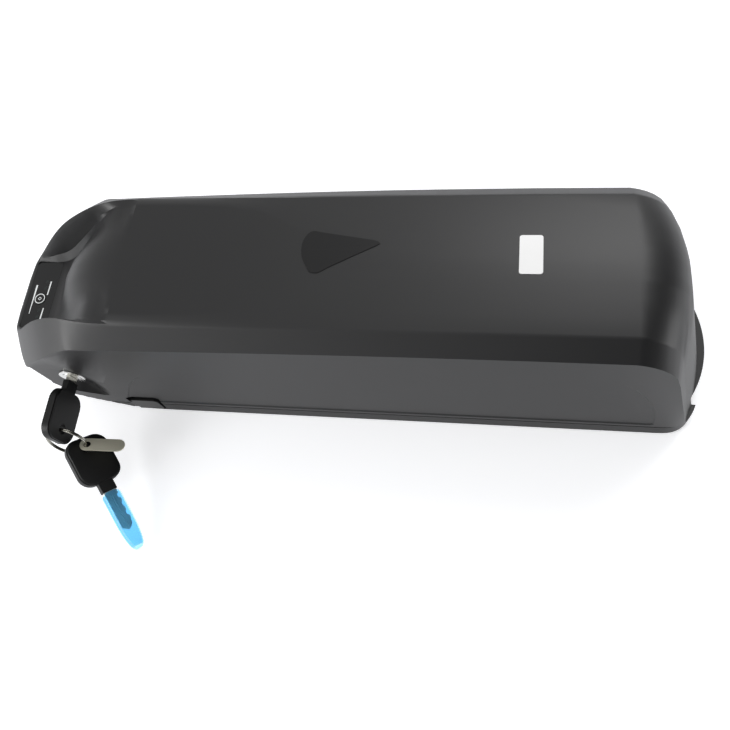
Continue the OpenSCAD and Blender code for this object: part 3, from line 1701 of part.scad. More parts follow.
module key_tag() {
  color("khaki")
    on_ring(tag_angle, tag_aim)
      difference() {
        translate([tag_len / 2 - tag_hole_back, 0, -tag_t / 2])
          round_plate(tag_len, tag_w, tag_w / 2 - fit, tag_t);
        translate([0, 0, -tag_t])
          cylinder(h = tag_t * 2, d = tag_hole_d);
      }
}

cradle_rail();
cradle_end();
cradle_pads();
strike_plate();
terminal_block();
terminal_blades();
cradle_screws();
cable_grommet();
upper_shell();
lower_shell();
shell_seals();
shell_screws();
display_label();
indicator_board();
charge_lights();
light_guides();
button_switch();
power_button();
cell_holder_left();
cell_holder_right();
cells();
nickel_left();
nickel_right();
insulation_sheets();
bms_board();
bms_parts();
heat_spreader();
discharge_leads();
charge_lead();
display_lead();
fuse_holder();
fuse();
foam_pads();
discharge_connector();
discharge_contacts();
charge_socket();
charge_pin();
charge_cap();
lock_barrel();
lock_nut();
lock_plug();
lock_bolt();
top_decal();
top_sticker();
key_blade();
key_head();
key_ring();
key_tag();
spare_key_blade();
spare_key_head();
spare_key_sleeve();
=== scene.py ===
import math

import bpy
from mathutils import Matrix, Vector


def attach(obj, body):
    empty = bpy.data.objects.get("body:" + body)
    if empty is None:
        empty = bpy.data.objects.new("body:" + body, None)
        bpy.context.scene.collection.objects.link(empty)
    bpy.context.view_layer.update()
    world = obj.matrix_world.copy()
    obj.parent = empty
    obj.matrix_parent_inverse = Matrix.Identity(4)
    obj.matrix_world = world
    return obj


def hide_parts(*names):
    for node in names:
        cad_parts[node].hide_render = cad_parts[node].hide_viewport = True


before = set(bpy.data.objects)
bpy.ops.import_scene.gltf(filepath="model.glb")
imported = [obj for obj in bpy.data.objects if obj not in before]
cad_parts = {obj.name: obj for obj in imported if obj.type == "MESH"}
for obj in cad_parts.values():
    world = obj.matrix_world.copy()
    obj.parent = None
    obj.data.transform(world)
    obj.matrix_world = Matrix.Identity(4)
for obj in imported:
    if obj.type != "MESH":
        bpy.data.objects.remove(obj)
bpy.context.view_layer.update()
MM = 0.001

# Camera: high over the lock side, turned with the hand that held it, fitted to the photograph's
# parallel edges. Its frame is the photograph's 730 by 730 pixels.
PHOTO_PX = 730
FOCAL_PX = 708.58
SENSOR_MM = 36.0
CAMERA_ELEVATION = math.radians(65.67)
CAMERA_AZIMUTH = math.radians(27.33)
CAMERA_ROLL = math.radians(-23.25)
CAMERA_AIM = Vector((0.01225, -0.03161, 0.05))
CAMERA_DISTANCE = 0.3671
CAMERA_NEAR = 0.01

camera_back = Vector((
    math.sin(CAMERA_AZIMUTH) * math.cos(CAMERA_ELEVATION),
    -math.cos(CAMERA_AZIMUTH) * math.cos(CAMERA_ELEVATION),
    math.sin(CAMERA_ELEVATION),
))
level_right = (-camera_back).cross(Vector((0, 0, 1))).normalized()
level_up = level_right.cross(-camera_back)
camera_right = level_right * math.cos(CAMERA_ROLL) + level_up * math.sin(CAMERA_ROLL)
camera_up = level_up * math.cos(CAMERA_ROLL) - level_right * math.sin(CAMERA_ROLL)
bpy.ops.object.camera_add()
camera = bpy.context.object
camera.name = "photo_camera"
camera.data.sensor_width = SENSOR_MM
camera.data.lens = FOCAL_PX / PHOTO_PX * SENSOR_MM
camera.data.clip_start = CAMERA_NEAR
camera.matrix_world = Matrix.Translation(CAMERA_AIM + camera_back * CAMERA_DISTANCE) @ Matrix(
    (camera_right, camera_up, camera_back)
).transposed().to_4x4()
bpy.context.scene.camera = camera


# Room: a sheet of white paper under a white sky, with large soft lamps round the pack.
# Paper and sky stay white in the picture and in what mirrors them, and the paper keeps the shadow.
def linear(code):
    """sRGB hex colour to Blender's linear RGBA, by the curve of the sRGB standard."""
    parts = [int(code[i:i + 2], 16) / 255 for i in (1, 3, 5)]
    return [c / 12.92 if c <= 0.04045 else ((c + 0.055) / 1.055) ** 2.4 for c in parts] + [1.0]


def add(tree, kind, links=None, **settings):
    """A node with its settings; in_NAME sets an input and links maps inputs to output sockets."""
    made = tree.nodes.new(kind)
    for key, value in settings.items():
        if key.startswith("in_"):
            key = key[3:].replace("_", " ")
            made.inputs[int(key) if key.isdigit() else key].default_value = value
        else:
            setattr(made, key, value)
    for name, socket in (links or {}).items():
        tree.links.new(socket, made.inputs[name])
    return made


FLOOR_SIZE = 4.0
FLOOR_WHITE = "#F2F3F6"
PURE_WHITE = linear("#FFFFFF")
# What the paper adds to its own shade where it is looked at, and where a gloss mirrors it.
FLOOR_GLOW = 0.44
FLOOR_SHEEN = 0.22
# The sky's light on the pack, beside the full white that is seen and mirrored.
ROOM_LEVEL = 0.88
# The room is darker behind the tail, which its shoulder mirrors, and in the corner over the nose.
DARK_SIDE = (0.8, -0.35, 0.1)
DARK_FROM, DARK_TO, DARK_LEVEL = 0.18, 0.56, 0.05
FAR_CORNER = (-0.75, 0.45, 0.48)
CORNER_FROM, CORNER_TO, CORNER_LEVEL = 0.66, 0.96, 0.62
LAMPS = {
    # name: (place, aim, size, watts)
    "far_softbox": ((0.34, 0.60, 0.95), (0.08, 0.0, 0.08), 0.55, 4.2),
    "nose_softbox": ((-0.84, -0.50, 0.44), (-0.15, 0.0, 0.05), 0.50, 5.2),
    "tail_softbox": ((0.95, -0.05, 0.12), (0.15, 0.0, 0.05), 0.40, 1.8),
}

bpy.ops.object.select_all(action="DESELECT")
bpy.ops.mesh.primitive_plane_add(size=FLOOR_SIZE, location=(0, 0, 0))
paper = bpy.context.object
paper.name = "paper_sweep"
white_paper = bpy.data.materials.new("white_paper")
white_paper.use_nodes = True
tree = white_paper.node_tree
tree.nodes.clear()
rays = add(tree, "ShaderNodeLightPath")
looked_at = add(
    tree, "ShaderNodeMath",
    {0: rays.outputs["Is Camera Ray"], 1: rays.outputs["Is Transmission Ray"]},
    operation="MAXIMUM",
)
seen_lift = add(
    tree, "ShaderNodeMath", {0: looked_at.outputs[0]}, operation="MULTIPLY", in_1=FLOOR_GLOW,
)
lift = add(
    tree, "ShaderNodeMath", {0: rays.outputs["Is Glossy Ray"], 2: seen_lift.outputs[0]},
    operation="MULTIPLY_ADD", in_1=FLOOR_SHEEN,
)
lit_paper = add(tree, "ShaderNodeBsdfDiffuse", in_Color=linear(FLOOR_WHITE))
glow = add(tree, "ShaderNodeEmission", {"Strength": lift.outputs[0]}, in_Color=PURE_WHITE)
seen_paper = add(tree, "ShaderNodeAddShader", {0: lit_paper.outputs[0], 1: glow.outputs[0]})
add(tree, "ShaderNodeOutputMaterial", {"Surface": seen_paper.outputs[0]})
paper.data.materials.append(white_paper)

world = bpy.data.worlds.new("studio")
bpy.context.scene.world = world
world.use_nodes = True
tree = world.node_tree
tree.nodes.clear()
rays = add(tree, "ShaderNodeLightPath")
mirrored = add(
    tree, "ShaderNodeMath",
    {0: rays.outputs["Is Camera Ray"], 1: rays.outputs["Is Glossy Ray"]},
    operation="MAXIMUM",
)
seen = add(
    tree, "ShaderNodeMath",
    {0: mirrored.outputs[0], 1: rays.outputs["Is Transmission Ray"]},
    operation="MAXIMUM",
)
way = add(tree, "ShaderNodeTexCoord")
towards_tail = add(
    tree, "ShaderNodeVectorMath", {0: way.outputs["Generated"]},
    operation="DOT_PRODUCT", in_1=DARK_SIDE,
)
tail_fade = add(
    tree, "ShaderNodeMapRange", {"Value": towards_tail.outputs["Value"]},
    interpolation_type="SMOOTHSTEP",
    in_From_Min=DARK_FROM, in_From_Max=DARK_TO, in_To_Min=1.0, in_To_Max=DARK_LEVEL,
)
towards_corner = add(
    tree, "ShaderNodeVectorMath", {0: way.outputs["Generated"]},
    operation="DOT_PRODUCT", in_1=FAR_CORNER,
)
corner_fade = add(
    tree, "ShaderNodeMapRange", {"Value": towards_corner.outputs["Value"]},
    interpolation_type="SMOOTHSTEP",
    in_From_Min=CORNER_FROM, in_From_Max=CORNER_TO, in_To_Min=1.0, in_To_Max=CORNER_LEVEL,
)
room_shade = add(
    tree, "ShaderNodeMath",
    {0: tail_fade.outputs["Result"], 1: corner_fade.outputs["Result"]},
    operation="MULTIPLY",
)
room_level = add(
    tree, "ShaderNodeMath", {0: room_shade.outputs[0]}, operation="MULTIPLY", in_1=ROOM_LEVEL,
)
room_light = add(
    tree, "ShaderNodeBackground", {"Strength": room_level.outputs[0]}, in_Color=PURE_WHITE,
)
seen_white = add(
    tree, "ShaderNodeBackground", {"Strength": room_shade.outputs[0]}, in_Color=PURE_WHITE,
)
mixed = add(
    tree, "ShaderNodeMixShader",
    {0: seen.outputs[0], 1: room_light.outputs[0], 2: seen_white.outputs[0]},
)
add(tree, "ShaderNodeOutputWorld", {"Surface": mixed.outputs[0]})

for name, (place, aim, size, watts) in LAMPS.items():
    bpy.ops.object.light_add(type="AREA", location=place)
    lamp = bpy.context.object
    lamp.name = name
    lamp.data.shape = "DISK"
    lamp.data.size = size
    lamp.data.energy = watts
    lamp.rotation_euler = (Vector(place) - Vector(aim)).to_track_quat("Z", "Y").to_euler()

bpy.context.scene.view_settings.view_transform = "Standard"


# Case: two ABS mouldings with a fine spark-eroded texture, screwed together from inside.
# The texture spreads each highlight wide and leaves the black plastic a soft charcoal. Its grain
# is drawn at half a millimetre, coarser than the real one, so that it still shows in the picture.
PLASTIC_IOR = 1.5
CLOUD_MM = 22
CLOUD_TINT = 0.06
CLOUD_DETAIL = 3.0
MOULD_DETAIL = 2.0
MOULD_MIX = 0.6
MOULD_BUMP = 0.6


def moulded(name, colour, roughness, grain_mm, depth_mm, specular=0.5, **shader_settings):
    """Moulded plastic or rubber: an even grain in the mould's face and a faint cloud of colour."""
    made = bpy.data.materials.new(name)
    made.use_nodes = True
    tree = made.node_tree
    shader = tree.nodes["Principled BSDF"]
    shader.inputs["Roughness"].default_value = roughness
    shader.inputs["IOR"].default_value = PLASTIC_IOR
    shader.inputs["Specular IOR Level"].default_value = specular
    for key, value in shader_settings.items():
        shader.inputs[key.replace("_", " ")].default_value = value
    place = add(tree, "ShaderNodeTexCoord")
    grain = add(
        tree, "ShaderNodeTexNoise", {"Vector": place.outputs["Object"]},
        in_Scale=1 / (grain_mm * MM), in_Detail=MOULD_DETAIL, in_Roughness=MOULD_MIX,
    )
    cloud = add(
        tree, "ShaderNodeTexNoise", {"Vector": place.outputs["Object"]},
        in_Scale=1 / (CLOUD_MM * MM), in_Detail=CLOUD_DETAIL,
    )
    base = linear(colour)
    shade = add(tree, "ShaderNodeValToRGB", {"Fac": cloud.outputs["Fac"]})
    for stop, level in zip(shade.color_ramp.elements, (1 - CLOUD_TINT, 1 + CLOUD_TINT)):
        stop.color = [c * level for c in base[:3]] + [1.0]
    tree.links.new(shade.outputs["Color"], shader.inputs["Base Color"])
    bump = add(
        tree, "ShaderNodeBump", {"Height": grain.outputs["Fac"]},
        in_Distance=depth_mm * MM, in_Strength=MOULD_BUMP,
    )
    tree.links.new(bump.outputs["Normal"], shader.inputs["Normal"])
    return made


WELD_MM = 0.002
FLAT_DEGREES = 0.2
EDGE_STEPS = 2


def dressed_copy(
    node, name, body, finish, smooth_degrees=30, edge_mm=0.0, edge_degrees=30,
):
    """A merged, smooth-shaded copy of a CAD node with its edges rounded, that stands for it."""
    bpy.ops.object.select_all(action="DESELECT")
    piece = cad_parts[node].copy()
    piece.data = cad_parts[node].data.copy()
    piece.name = name
    piece.parent = None
    bpy.context.collection.objects.link(piece)
    bpy.context.view_layer.objects.active = piece
    piece.select_set(True)
    if piece.data.has_custom_normals:
        bpy.ops.mesh.customdata_custom_splitnormals_clear()
    bpy.ops.object.mode_set(mode="EDIT")
    bpy.ops.mesh.select_all(action="SELECT")
    bpy.ops.mesh.remove_doubles(threshold=WELD_MM * MM)
    bpy.ops.mesh.mark_sharp(clear=True)
    bpy.ops.mesh.dissolve_limited(angle_limit=math.radians(FLAT_DEGREES))
    bpy.ops.object.mode_set(mode="OBJECT")
    if edge_mm:
        rounding = piece.modifiers.new("edge_radius", "BEVEL")
        rounding.width = edge_mm * MM
        rounding.segments = EDGE_STEPS
        rounding.limit_method = "ANGLE"
        rounding.angle_limit = math.radians(edge_degrees)
        bpy.ops.object.modifier_apply(modifier=rounding.name)
    bpy.ops.object.shade_smooth_by_angle(angle=math.radians(smooth_degrees))
    weights = piece.modifiers.new("even_shading", "WEIGHTED_NORMAL")
    weights.keep_sharp = True
    bpy.ops.object.modifier_apply(modifier=weights.name)
    piece.data.materials.clear()
    piece.data.materials.append(finish)
    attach(piece, body)
    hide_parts(node)
    return piece


def dress(finish, *nodes):
    """CAD nodes that keep their mesh and take a finish."""
    for node in nodes:
        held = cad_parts[node].data
        held.materials.clear()
        held.materials.append(finish)


case_abs = moulded(
    "charcoal_moulded_abs", "#1B1B1C", roughness=0.42, grain_mm=0.5, depth_mm=0.02, specular=0.42,
)
dressed_copy(
    "upper_shell", "upper_case", "battery", case_abs, smooth_degrees=25,
)
dressed_copy(
    "lower_shell", "lower_case", "battery", case_abs, smooth_degrees=34,
)

# Seal and screws of the case: a black rubber bar in the parting plane and zinc-plated screws.
# The rubber is dull and darker than the case, so the parting line reads as a thin shadow. The
# plate is a dull blue-grey with a fine grain.
black_rubber = moulded(
    "black_rubber", "#161617", roughness=0.6, grain_mm=0.6, depth_mm=0.01, specular=0.35,
)
dress(black_rubber, "shell_seals")


METAL_DETAIL = 3.0
METAL_BUMP = 0.3
DULLER, BRIGHTER = 1.25, 0.75


def metal(name, colour, roughness, grain_mm, stretch=(1, 1, 1), depth_mm=0.004):
    """Metal with the fine drawn, rolled or cast grain of its making."""
    made = bpy.data.materials.new(name)
    made.use_nodes = True
    tree = made.node_tree
    shader = tree.nodes["Principled BSDF"]
    shader.inputs["Metallic"].default_value = 1.0
    shader.inputs["Base Color"].default_value = linear(colour)
    place = add(tree, "ShaderNodeTexCoord")
    drawn = add(
        tree, "ShaderNodeMapping", {"Vector": place.outputs["Object"]}, in_Scale=stretch,
    )
    grain = add(
        tree, "ShaderNodeTexNoise", {"Vector": drawn.outputs[0]},
        in_Scale=1 / (grain_mm * MM), in_Detail=METAL_DETAIL,
    )
    spread = add(
        tree, "ShaderNodeMapRange", {"Value": grain.outputs["Fac"]},
        in_To_Min=roughness * BRIGHTER, in_To_Max=roughness * DULLER,
    )
    tree.links.new(spread.outputs["Result"], shader.inputs["Roughness"])
    bump = add(
        tree, "ShaderNodeBump", {"Height": grain.outputs["Fac"]},
        in_Distance=depth_mm * MM, in_Strength=METAL_BUMP,
    )
    tree.links.new(bump.outputs["Normal"], shader.inputs["Normal"])
    return made


zinc_plate = metal("zinc_plate", "#A9ABAE", roughness=0.4, grain_mm=0.4)
dress(zinc_plate, "shell_screws")

# Display: a polyester film with a glossy face, glued on the nose ledge. Smoked acrylic windows
# in it let the lights through, and the bars are printed in flat white ink with no words.
LABEL_TOP = 62.0 * MM
MARK_T = 0.04 * MM
BAR_CORNER = 0.14 * MM
BAR_CORNER_STEPS = 3
BAR_CORNER_DEGREES = 40
gloss_film = moulded(
    "gloss_polyester_film", "#0E0F10", roughness=0.16, grain_mm=2.0, depth_mm=0.002, specular=0.5,
)
white_ink = moulded("screen_printed_white", "#E9ECEC", roughness=0.4, grain_mm=0.6, depth_mm=0.002)
dress(gloss_film, "display_label")
smoked_acrylic = moulded("smoked_acrylic", "#1C2221", roughness=0.2, grain_mm=1.0, depth_mm=0.002)
dress(smoked_acrylic, "light_guides")

BARS = {
    # name: first end, second end and half widths at them, in mm on the label
    "charge_bar": ((-181.1, 6.0), (-181.0, -12.3), 0.55, 0.16),
    "upper_bar": ((-172.9, 8.4), (-173.0, -0.2), 0.42, 0.34),
    "lower_bar": ((-173.0, -8.6), (-173.1, -15.6), 0.30, 0.42),
}


def bar_mark(name, first, second, half_first, half_second):
    """A printed bar that tapers from one end to the other."""
    bpy.ops.object.select_all(action="DESELECT")
    middle = (Vector(first) + Vector(second)) / 2 * MM
    bpy.ops.mesh.primitive_cube_add(
        size=1.0, location=(middle[0], middle[1], LABEL_TOP + MARK_T / 2),
    )
    bar = bpy.context.object
    bar.name = name
    bar.dimensions = (half_first * 2 * MM, (first[1] - second[1]) * MM, MARK_T)
    bpy.ops.object.transform_apply(location=True, rotation=True, scale=True)
    for corner in bar.data.vertices:
        near = (corner.co.y / MM - second[1]) / (first[1] - second[1])
        side = 1 if corner.co.x > middle[0] else -1
        half = half_second + (half_first - half_second) * near
        corner.co.x = (second[0] + (first[0] - second[0]) * near + side * half) * MM
    rounding = bar.modifiers.new("soft_corners", "BEVEL")
    rounding.width = BAR_CORNER
    rounding.segments = BAR_CORNER_STEPS
    rounding.limit_method = "ANGLE"
    rounding.angle_limit = math.radians(BAR_CORNER_DEGREES)
    bpy.ops.object.modifier_apply(modifier=rounding.name)
    bar.data.materials.append(white_ink)
    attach(bar, "battery")


for name, (first, second, half_first, half_second) in BARS.items():
    bar_mark(name, first, second, half_first, half_second)

# Power button: a round glossy cap in the film with a printed ring and a small square in it.
# It stands slightly proud, so its film mirrors the room at a level of its own.
BUTTON = Vector((-176.7, -2.8)) * MM
BUTTON_TOP = 62.4 * MM
RING_OUTER, RING_INNER = 3.1 * MM, 2.65 * MM
RING_SIDES = 64
SQUARE_OUTER = 1.7 * MM / math.sqrt(2)
SQUARE_INNER = SQUARE_OUTER - 0.3 * MM
SQUARE_SIDES = 4
SQUARE_TURN = math.radians(8)
SQUARE_CORNER_SHARE = 0.35
SQUARE_CORNER_STEPS = 4
gloss_button = moulded("gloss_button_film", "#101112", roughness=0.15, grain_mm=2.0, depth_mm=0.002)
dress(gloss_button, "power_button")


def flat_frame(name, sides, outer, inner, turn):
    """A flat printed outline on the button: a ring, or a square with rounded corners."""
    bpy.ops.object.select_all(action="DESELECT")
    bpy.ops.mesh.primitive_circle_add(
        vertices=sides, radius=outer, fill_type="NGON",
        location=(BUTTON[0], BUTTON[1], BUTTON_TOP + MARK_T), rotation=(0, 0, turn),
    )
    mark = bpy.context.object
    mark.name = name
    bpy.ops.object.transform_apply(location=True, rotation=True, scale=True)
    bpy.ops.object.mode_set(mode="EDIT")
    bpy.ops.mesh.select_all(action="SELECT")
    if sides == SQUARE_SIDES:
        bpy.ops.mesh.bevel(
            offset=outer * SQUARE_CORNER_SHARE, offset_type="OFFSET",
            segments=SQUARE_CORNER_STEPS, affect="VERTICES",
        )
    bpy.ops.mesh.select_all(action="SELECT")
    bpy.ops.mesh.inset(thickness=outer - inner)
    bpy.ops.mesh.delete(type="FACE")
    bpy.ops.object.mode_set(mode="OBJECT")
    body = mark.modifiers.new("ink", "SOLIDIFY")
    body.thickness = MARK_T
    bpy.ops.object.modifier_apply(modifier=body.name)
    mark.data.materials.append(white_ink)
    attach(mark, "power_button")


flat_frame("button_ring", RING_SIDES, RING_OUTER, RING_INNER, 0)
flat_frame("button_square", SQUARE_SIDES, SQUARE_OUTER, SQUARE_INNER, SQUARE_TURN)

# Under the film: a small board with its tactile switch and four light-emitting diodes.
# Solder mask is glossy green, the switch dull nylon, the diodes bright clear epoxy.
solder_mask = moulded("green_solder_mask", "#12401F", roughness=0.3, grain_mm=0.5, depth_mm=0.004)
dress(solder_mask, "indicator_board", "bms_board")
dress(
    moulded("switch_nylon", "#3A3A3C", roughness=0.5, grain_mm=0.4, depth_mm=0.005),
    "button_switch",
)
dress(
    moulded("clear_epoxy", "#E8E8E8", roughness=0.15, grain_mm=0.5, depth_mm=0.002),
    "charge_lights",
)

# Lock: a chromed zinc barrel whose rosette sits on the scoop, with the turning plug in it and a
# ground steel bolt below. Chrome over a die casting mirrors the white room, so it is nearly white
# beside the black key, and the ground steel shows fine lines along the case.
chrome = metal("chromed_zinc", "#E6E6E4", roughness=0.16, grain_mm=0.8)
for node, name, body in (
    ("lock_barrel", "lock_rosette", "battery"),
    ("lock_plug", "turning_plug", "lock_plug"),
):
    dressed_copy(node, name, body, chrome, edge_mm=0.25, edge_degrees=40)
dress(zinc_plate, "lock_nut")
bright_steel = metal("bright_steel", "#C9CACC", roughness=0.25, grain_mm=0.3, stretch=(0.15, 1, 1))
dress(bright_steel, "lock_bolt", "strike_plate", "cradle_screws")

# Keys: nickel-plated steel blades in black ABS heads. The heads have softened edges and a fine
# matt grain, so their thick sides turn grey while the faces stay black. The plate is bright and
# slightly warm.
key_abs = moulded(
    "black_moulded_key_abs", "#0C0C0D", roughness=0.45, grain_mm=0.7, depth_mm=0.04, specular=0.32,
)
nickel_silver = metal("nickel_plated_steel", "#C8C6BC", roughness=0.2, grain_mm=0.5)
for node, name, body in (
    ("key_head", "lock_key_head", "lock_key"),
    ("spare_key_head", "spare_key_cover", "spare_key"),
):
    dressed_copy(
        node, name, body, key_abs,
        smooth_degrees=40, edge_mm=0.7, edge_degrees=35,
    )
dress(nickel_silver, "key_blade")

# Key ring: two turns of spring steel wire, hung through both heads and the tag.
# The turns lie side by side, so each shows its own thin bright line.
RING_MID = Vector((-159.0, -75.8846, 28.9677)) * MM
RING_RADIUS = 11.6 * MM
RING_LEAN = math.radians(18)
WIRE = 0.95 * MM
WIRE_SIDES = 16
TURN_GAP = 0.02 * MM
TURNS = 2
TURN_STEPS = 72
WIRE_SMOOTH = math.radians(40)
UPRIGHT = math.radians(90)
bpy.ops.object.select_all(action="DESELECT")
bpy.ops.mesh.primitive_circle_add(
    vertices=WIRE_SIDES, radius=WIRE / 2,
    location=(RING_RADIUS, 0, -WIRE / 2 - TURN_GAP), rotation=(UPRIGHT, 0, 0),
)
split_ring = bpy.context.object
split_ring.name = "split_ring"
bpy.ops.object.transform_apply(location=True, rotation=True, scale=True)
turns = split_ring.modifiers.new("turns", "SCREW")
turns.angle = math.radians(360)
turns.iterations = TURNS
turns.screw_offset = WIRE
turns.steps = TURN_STEPS
turns.render_steps = TURN_STEPS
bpy.ops.object.modifier_apply(modifier=turns.name)
bpy.ops.object.mode_set(mode="EDIT")
bpy.ops.mesh.select_all(action="DESELECT")
bpy.ops.mesh.select_mode(type="EDGE")
bpy.ops.mesh.select_non_manifold()
bpy.ops.mesh.fill_holes(sides=0)
bpy.ops.mesh.select_all(action="SELECT")
bpy.ops.mesh.normals_make_consistent(inside=False)
bpy.ops.object.mode_set(mode="OBJECT")
bpy.ops.object.shade_smooth_by_angle(angle=WIRE_SMOOTH)
split_ring.data.transform(
    Matrix.Translation(RING_MID)
    @ Matrix.Rotation(-RING_LEAN, 4, "X")
    @ Matrix.Rotation(UPRIGHT, 4, "X")
)
# The grain is drawn far coarser than real drawing marks, which would turn to specks on thin wire.
spring_wire = metal("spring_steel_wire", "#B9B7AE", roughness=0.2, grain_mm=4.0, depth_mm=0.0005)
split_ring.data.materials.append(spring_wire)
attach(split_ring, "key_ring")
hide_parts("key_ring")

# Tag: a small stamped plate of pale nickel silver with rounded ends, left bare.
# Its rolled face is satin and slightly warm beside the keys.
tag_metal = metal(
    "rolled_nickel_silver", "#DEDBC9", roughness=0.5, grain_mm=0.4, stretch=(1, 0.2, 1),
)
dressed_copy(
    "key_tag", "bare_tag", "key_tag", tag_metal,
    smooth_degrees=35, edge_mm=0.15, edge_degrees=40,
)

# Spare blade and its sleeve: a short bitted blade in a dipped vinyl cover with a rounded tip that
# is drawn in. The vinyl is clear and cyan, so the blade shows through it as a darker teal core.
# Places along the blade are in mm from the hole in the key's head.
SPARE_HOLE = Vector((-150.114, -78.189, 21.876)) * MM
SPARE_WAY = Vector((0.57213, -0.78079, -0.25108))
SPARE_SIDE = Vector((-0.50941, -0.57822, 0.63732))
BLADE_FROM, BLADE_SHARE = 30.0, 0.7
TIP_FROM, TIP_LEN, TIP_POWER, TIP_LAST = 44.0, 21.4, 2.4, 0.99
TIP_CUTS = (46, 49, 52, 55, 57, 59, 60.5, 62, 63, 63.8)
VINYL_IOR = 1.15
SLEEVE_SMOOTH = math.radians(50)

satin_nickel = metal("satin_nickel_plate", "#E4E6E2", roughness=0.5, grain_mm=0.8)
spare_blade = dressed_copy(
    "spare_key_blade", "spare_blade", "spare_key", satin_nickel,
)
for point in spare_blade.data.vertices:
    past = (point.co - SPARE_HOLE).dot(SPARE_WAY) / MM - BLADE_FROM
    if past > 0:
        point.co -= SPARE_WAY * past * (1 - BLADE_SHARE) * MM

# A low IOR stands for the cover's contact with the blade, and keeps the core plain to see.
vinyl = moulded(
    "clear_blue_vinyl", "#A8DCF8", roughness=0.06, grain_mm=3.0, depth_mm=0.002,
    Transmission_Weight=1.0, IOR=VINYL_IOR,
)
sleeve = dressed_copy(
    "spare_key_sleeve", "blade_sleeve", "spare_key", vinyl, smooth_degrees=60,
)
bpy.context.view_layer.objects.active = sleeve
bpy.ops.object.mode_set(mode="EDIT")
for cut_mm in TIP_CUTS:
    bpy.ops.mesh.select_all(action="SELECT")
    bpy.ops.mesh.bisect(plane_co=SPARE_HOLE + SPARE_WAY * cut_mm * MM, plane_no=SPARE_WAY)
bpy.ops.object.mode_set(mode="OBJECT")
for point in sleeve.data.vertices:
    offset = point.co - SPARE_HOLE
    share = (offset.dot(SPARE_WAY) / MM - TIP_FROM) / TIP_LEN
    if share > 0:
        narrow = (1 - min(share, TIP_LAST) ** TIP_POWER) ** (1 / TIP_POWER)
        point.co -= SPARE_SIDE * offset.dot(SPARE_SIDE) * (1 - narrow)
bpy.ops.object.shade_smooth_by_angle(angle=SLEEVE_SMOOTH)

# Charge port and discharge connector: moulded nylon sockets with brass pins. A rubber flap on a
# knuckle hinge closes the charge port. It is soft rubber, blacker than the case, with a faint
# light edge, and the brass is a warm yellow.
dress(
    moulded("connector_nylon", "#18181A", roughness=0.45, grain_mm=0.4, depth_mm=0.008),
    "charge_socket", "discharge_connector",
)
brass = metal("plain_brass", "#D9B560", roughness=0.25, grain_mm=0.3)
dress(brass, "charge_pin", "discharge_contacts", "terminal_blades")
cap_rubber = moulded("soft_cap_rubber", "#111112", roughness=0.4, grain_mm=0.8, depth_mm=0.01)
dressed_copy(
    "charge_cap", "port_cap", "charge_cap", cap_rubber,
    smooth_degrees=35, edge_mm=0.3, edge_degrees=35,
)

# Labels on the top: a black polyester decal and a white paper sticker, both bare.
# The decal is glossier than the moulding round it, and the paper is slightly grey.
decal_film = moulded(
    "black_gloss_decal", "#131314", roughness=0.3, grain_mm=1.5, depth_mm=0.002, specular=0.3,
)
dress(decal_film, "top_decal")
dress(
    moulded("white_paper_sticker", "#F0F0F0", roughness=0.6, grain_mm=0.6, depth_mm=0.004),
    "top_sticker",
)

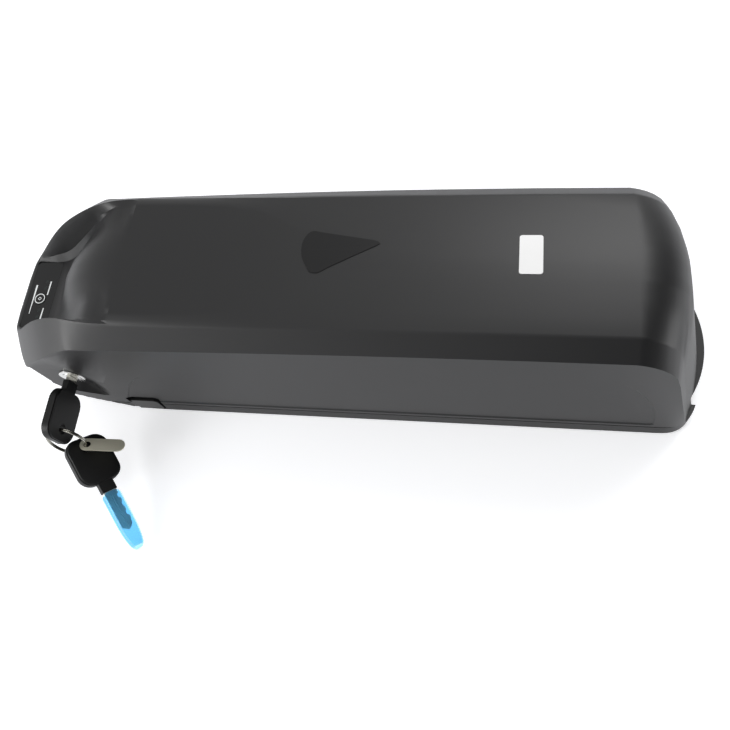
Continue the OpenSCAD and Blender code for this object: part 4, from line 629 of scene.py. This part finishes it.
# Cradle: an anodised aluminium rail with a moulded nylon end, rubber pads and a cable grommet.
# Anodising is a satin black that shows the extrusion's long fine lines. The nylon is duller, and
# the terminal block inside is undyed ivory nylon.
extruded = metal(
    "black_anodised_aluminium", "#303033", roughness=0.4, grain_mm=0.5, stretch=(0.05, 1, 1),
)
dress(extruded, "cradle_rail")
cradle_nylon = moulded(
    "black_moulded_nylon", "#121213", roughness=0.5, grain_mm=0.5, depth_mm=0.015, specular=0.4,
)
dressed_copy(
    "cradle_end", "cradle_bumper", "cradle", cradle_nylon,
    edge_mm=0.4, edge_degrees=35,
)
dress(black_rubber, "cradle_pads", "cable_grommet")
dress(
    moulded("ivory_nylon", "#D8D3C2", roughness=0.5, grain_mm=0.5, depth_mm=0.01),
    "terminal_block",
)

# Cell pack: cylindrical cells in shrink sleeves, held in two ABS combs and joined by nickel strip.
# Sleeves are glossy blue, insulation sheets dull green vulcanised paper, and closed-cell foam with
# open pits in its cut face takes up the last gaps.
dress(
    moulded("cell_shrink_sleeve", "#2A5A8C", roughness=0.3, grain_mm=1.5, depth_mm=0.004),
    "cells",
)
dress(
    moulded("holder_abs", "#1E1E1F", roughness=0.5, grain_mm=0.5, depth_mm=0.01),
    "cell_holder_left", "cell_holder_right", "fuse_holder",
)
dress(
    metal("pure_nickel_strip", "#B9B4A8", roughness=0.3, grain_mm=0.3, stretch=(0.2, 1, 1)),
    "nickel_left", "nickel_right",
)
dress(
    moulded("vulcanised_paper", "#4C6E54", roughness=0.8, grain_mm=0.8, depth_mm=0.01),
    "insulation_sheets",
)
dress(
    moulded("closed_cell_foam", "#222224", roughness=0.95, grain_mm=0.9, depth_mm=0.06),
    "foam_pads",
)

# Management board: solder mask with moulded packages on it and an aluminium heat spreader.
# Packages are dull black epoxy, the spreader pale metal with milling lines, the fuse glossy amber.
dress(
    moulded("epoxy_packages", "#202022", roughness=0.5, grain_mm=0.4, depth_mm=0.006),
    "bms_parts",
)
dress(
    metal("milled_aluminium", "#BFC1C4", roughness=0.35, grain_mm=0.3, stretch=(0.1, 1, 1)),
    "heat_spreader",
)
dress(
    moulded("fuse_body", "#A24A10", roughness=0.3, grain_mm=0.5, depth_mm=0.004),
    "fuse",
)

# Leads inside the case: silicone and PVC insulation, soft and slightly glossy.
# Red for discharge, yellow for the charge port, white for the display.
dress(
    moulded("red_silicone", "#8E1414", roughness=0.5, grain_mm=0.5, depth_mm=0.004),
    "discharge_leads",
)
dress(
    moulded("yellow_pvc", "#B58A12", roughness=0.45, grain_mm=0.5, depth_mm=0.004),
    "charge_lead",
)
dress(
    moulded("white_pvc", "#C8C8C8", roughness=0.45, grain_mm=0.5, depth_mm=0.004),
    "display_lead",
)
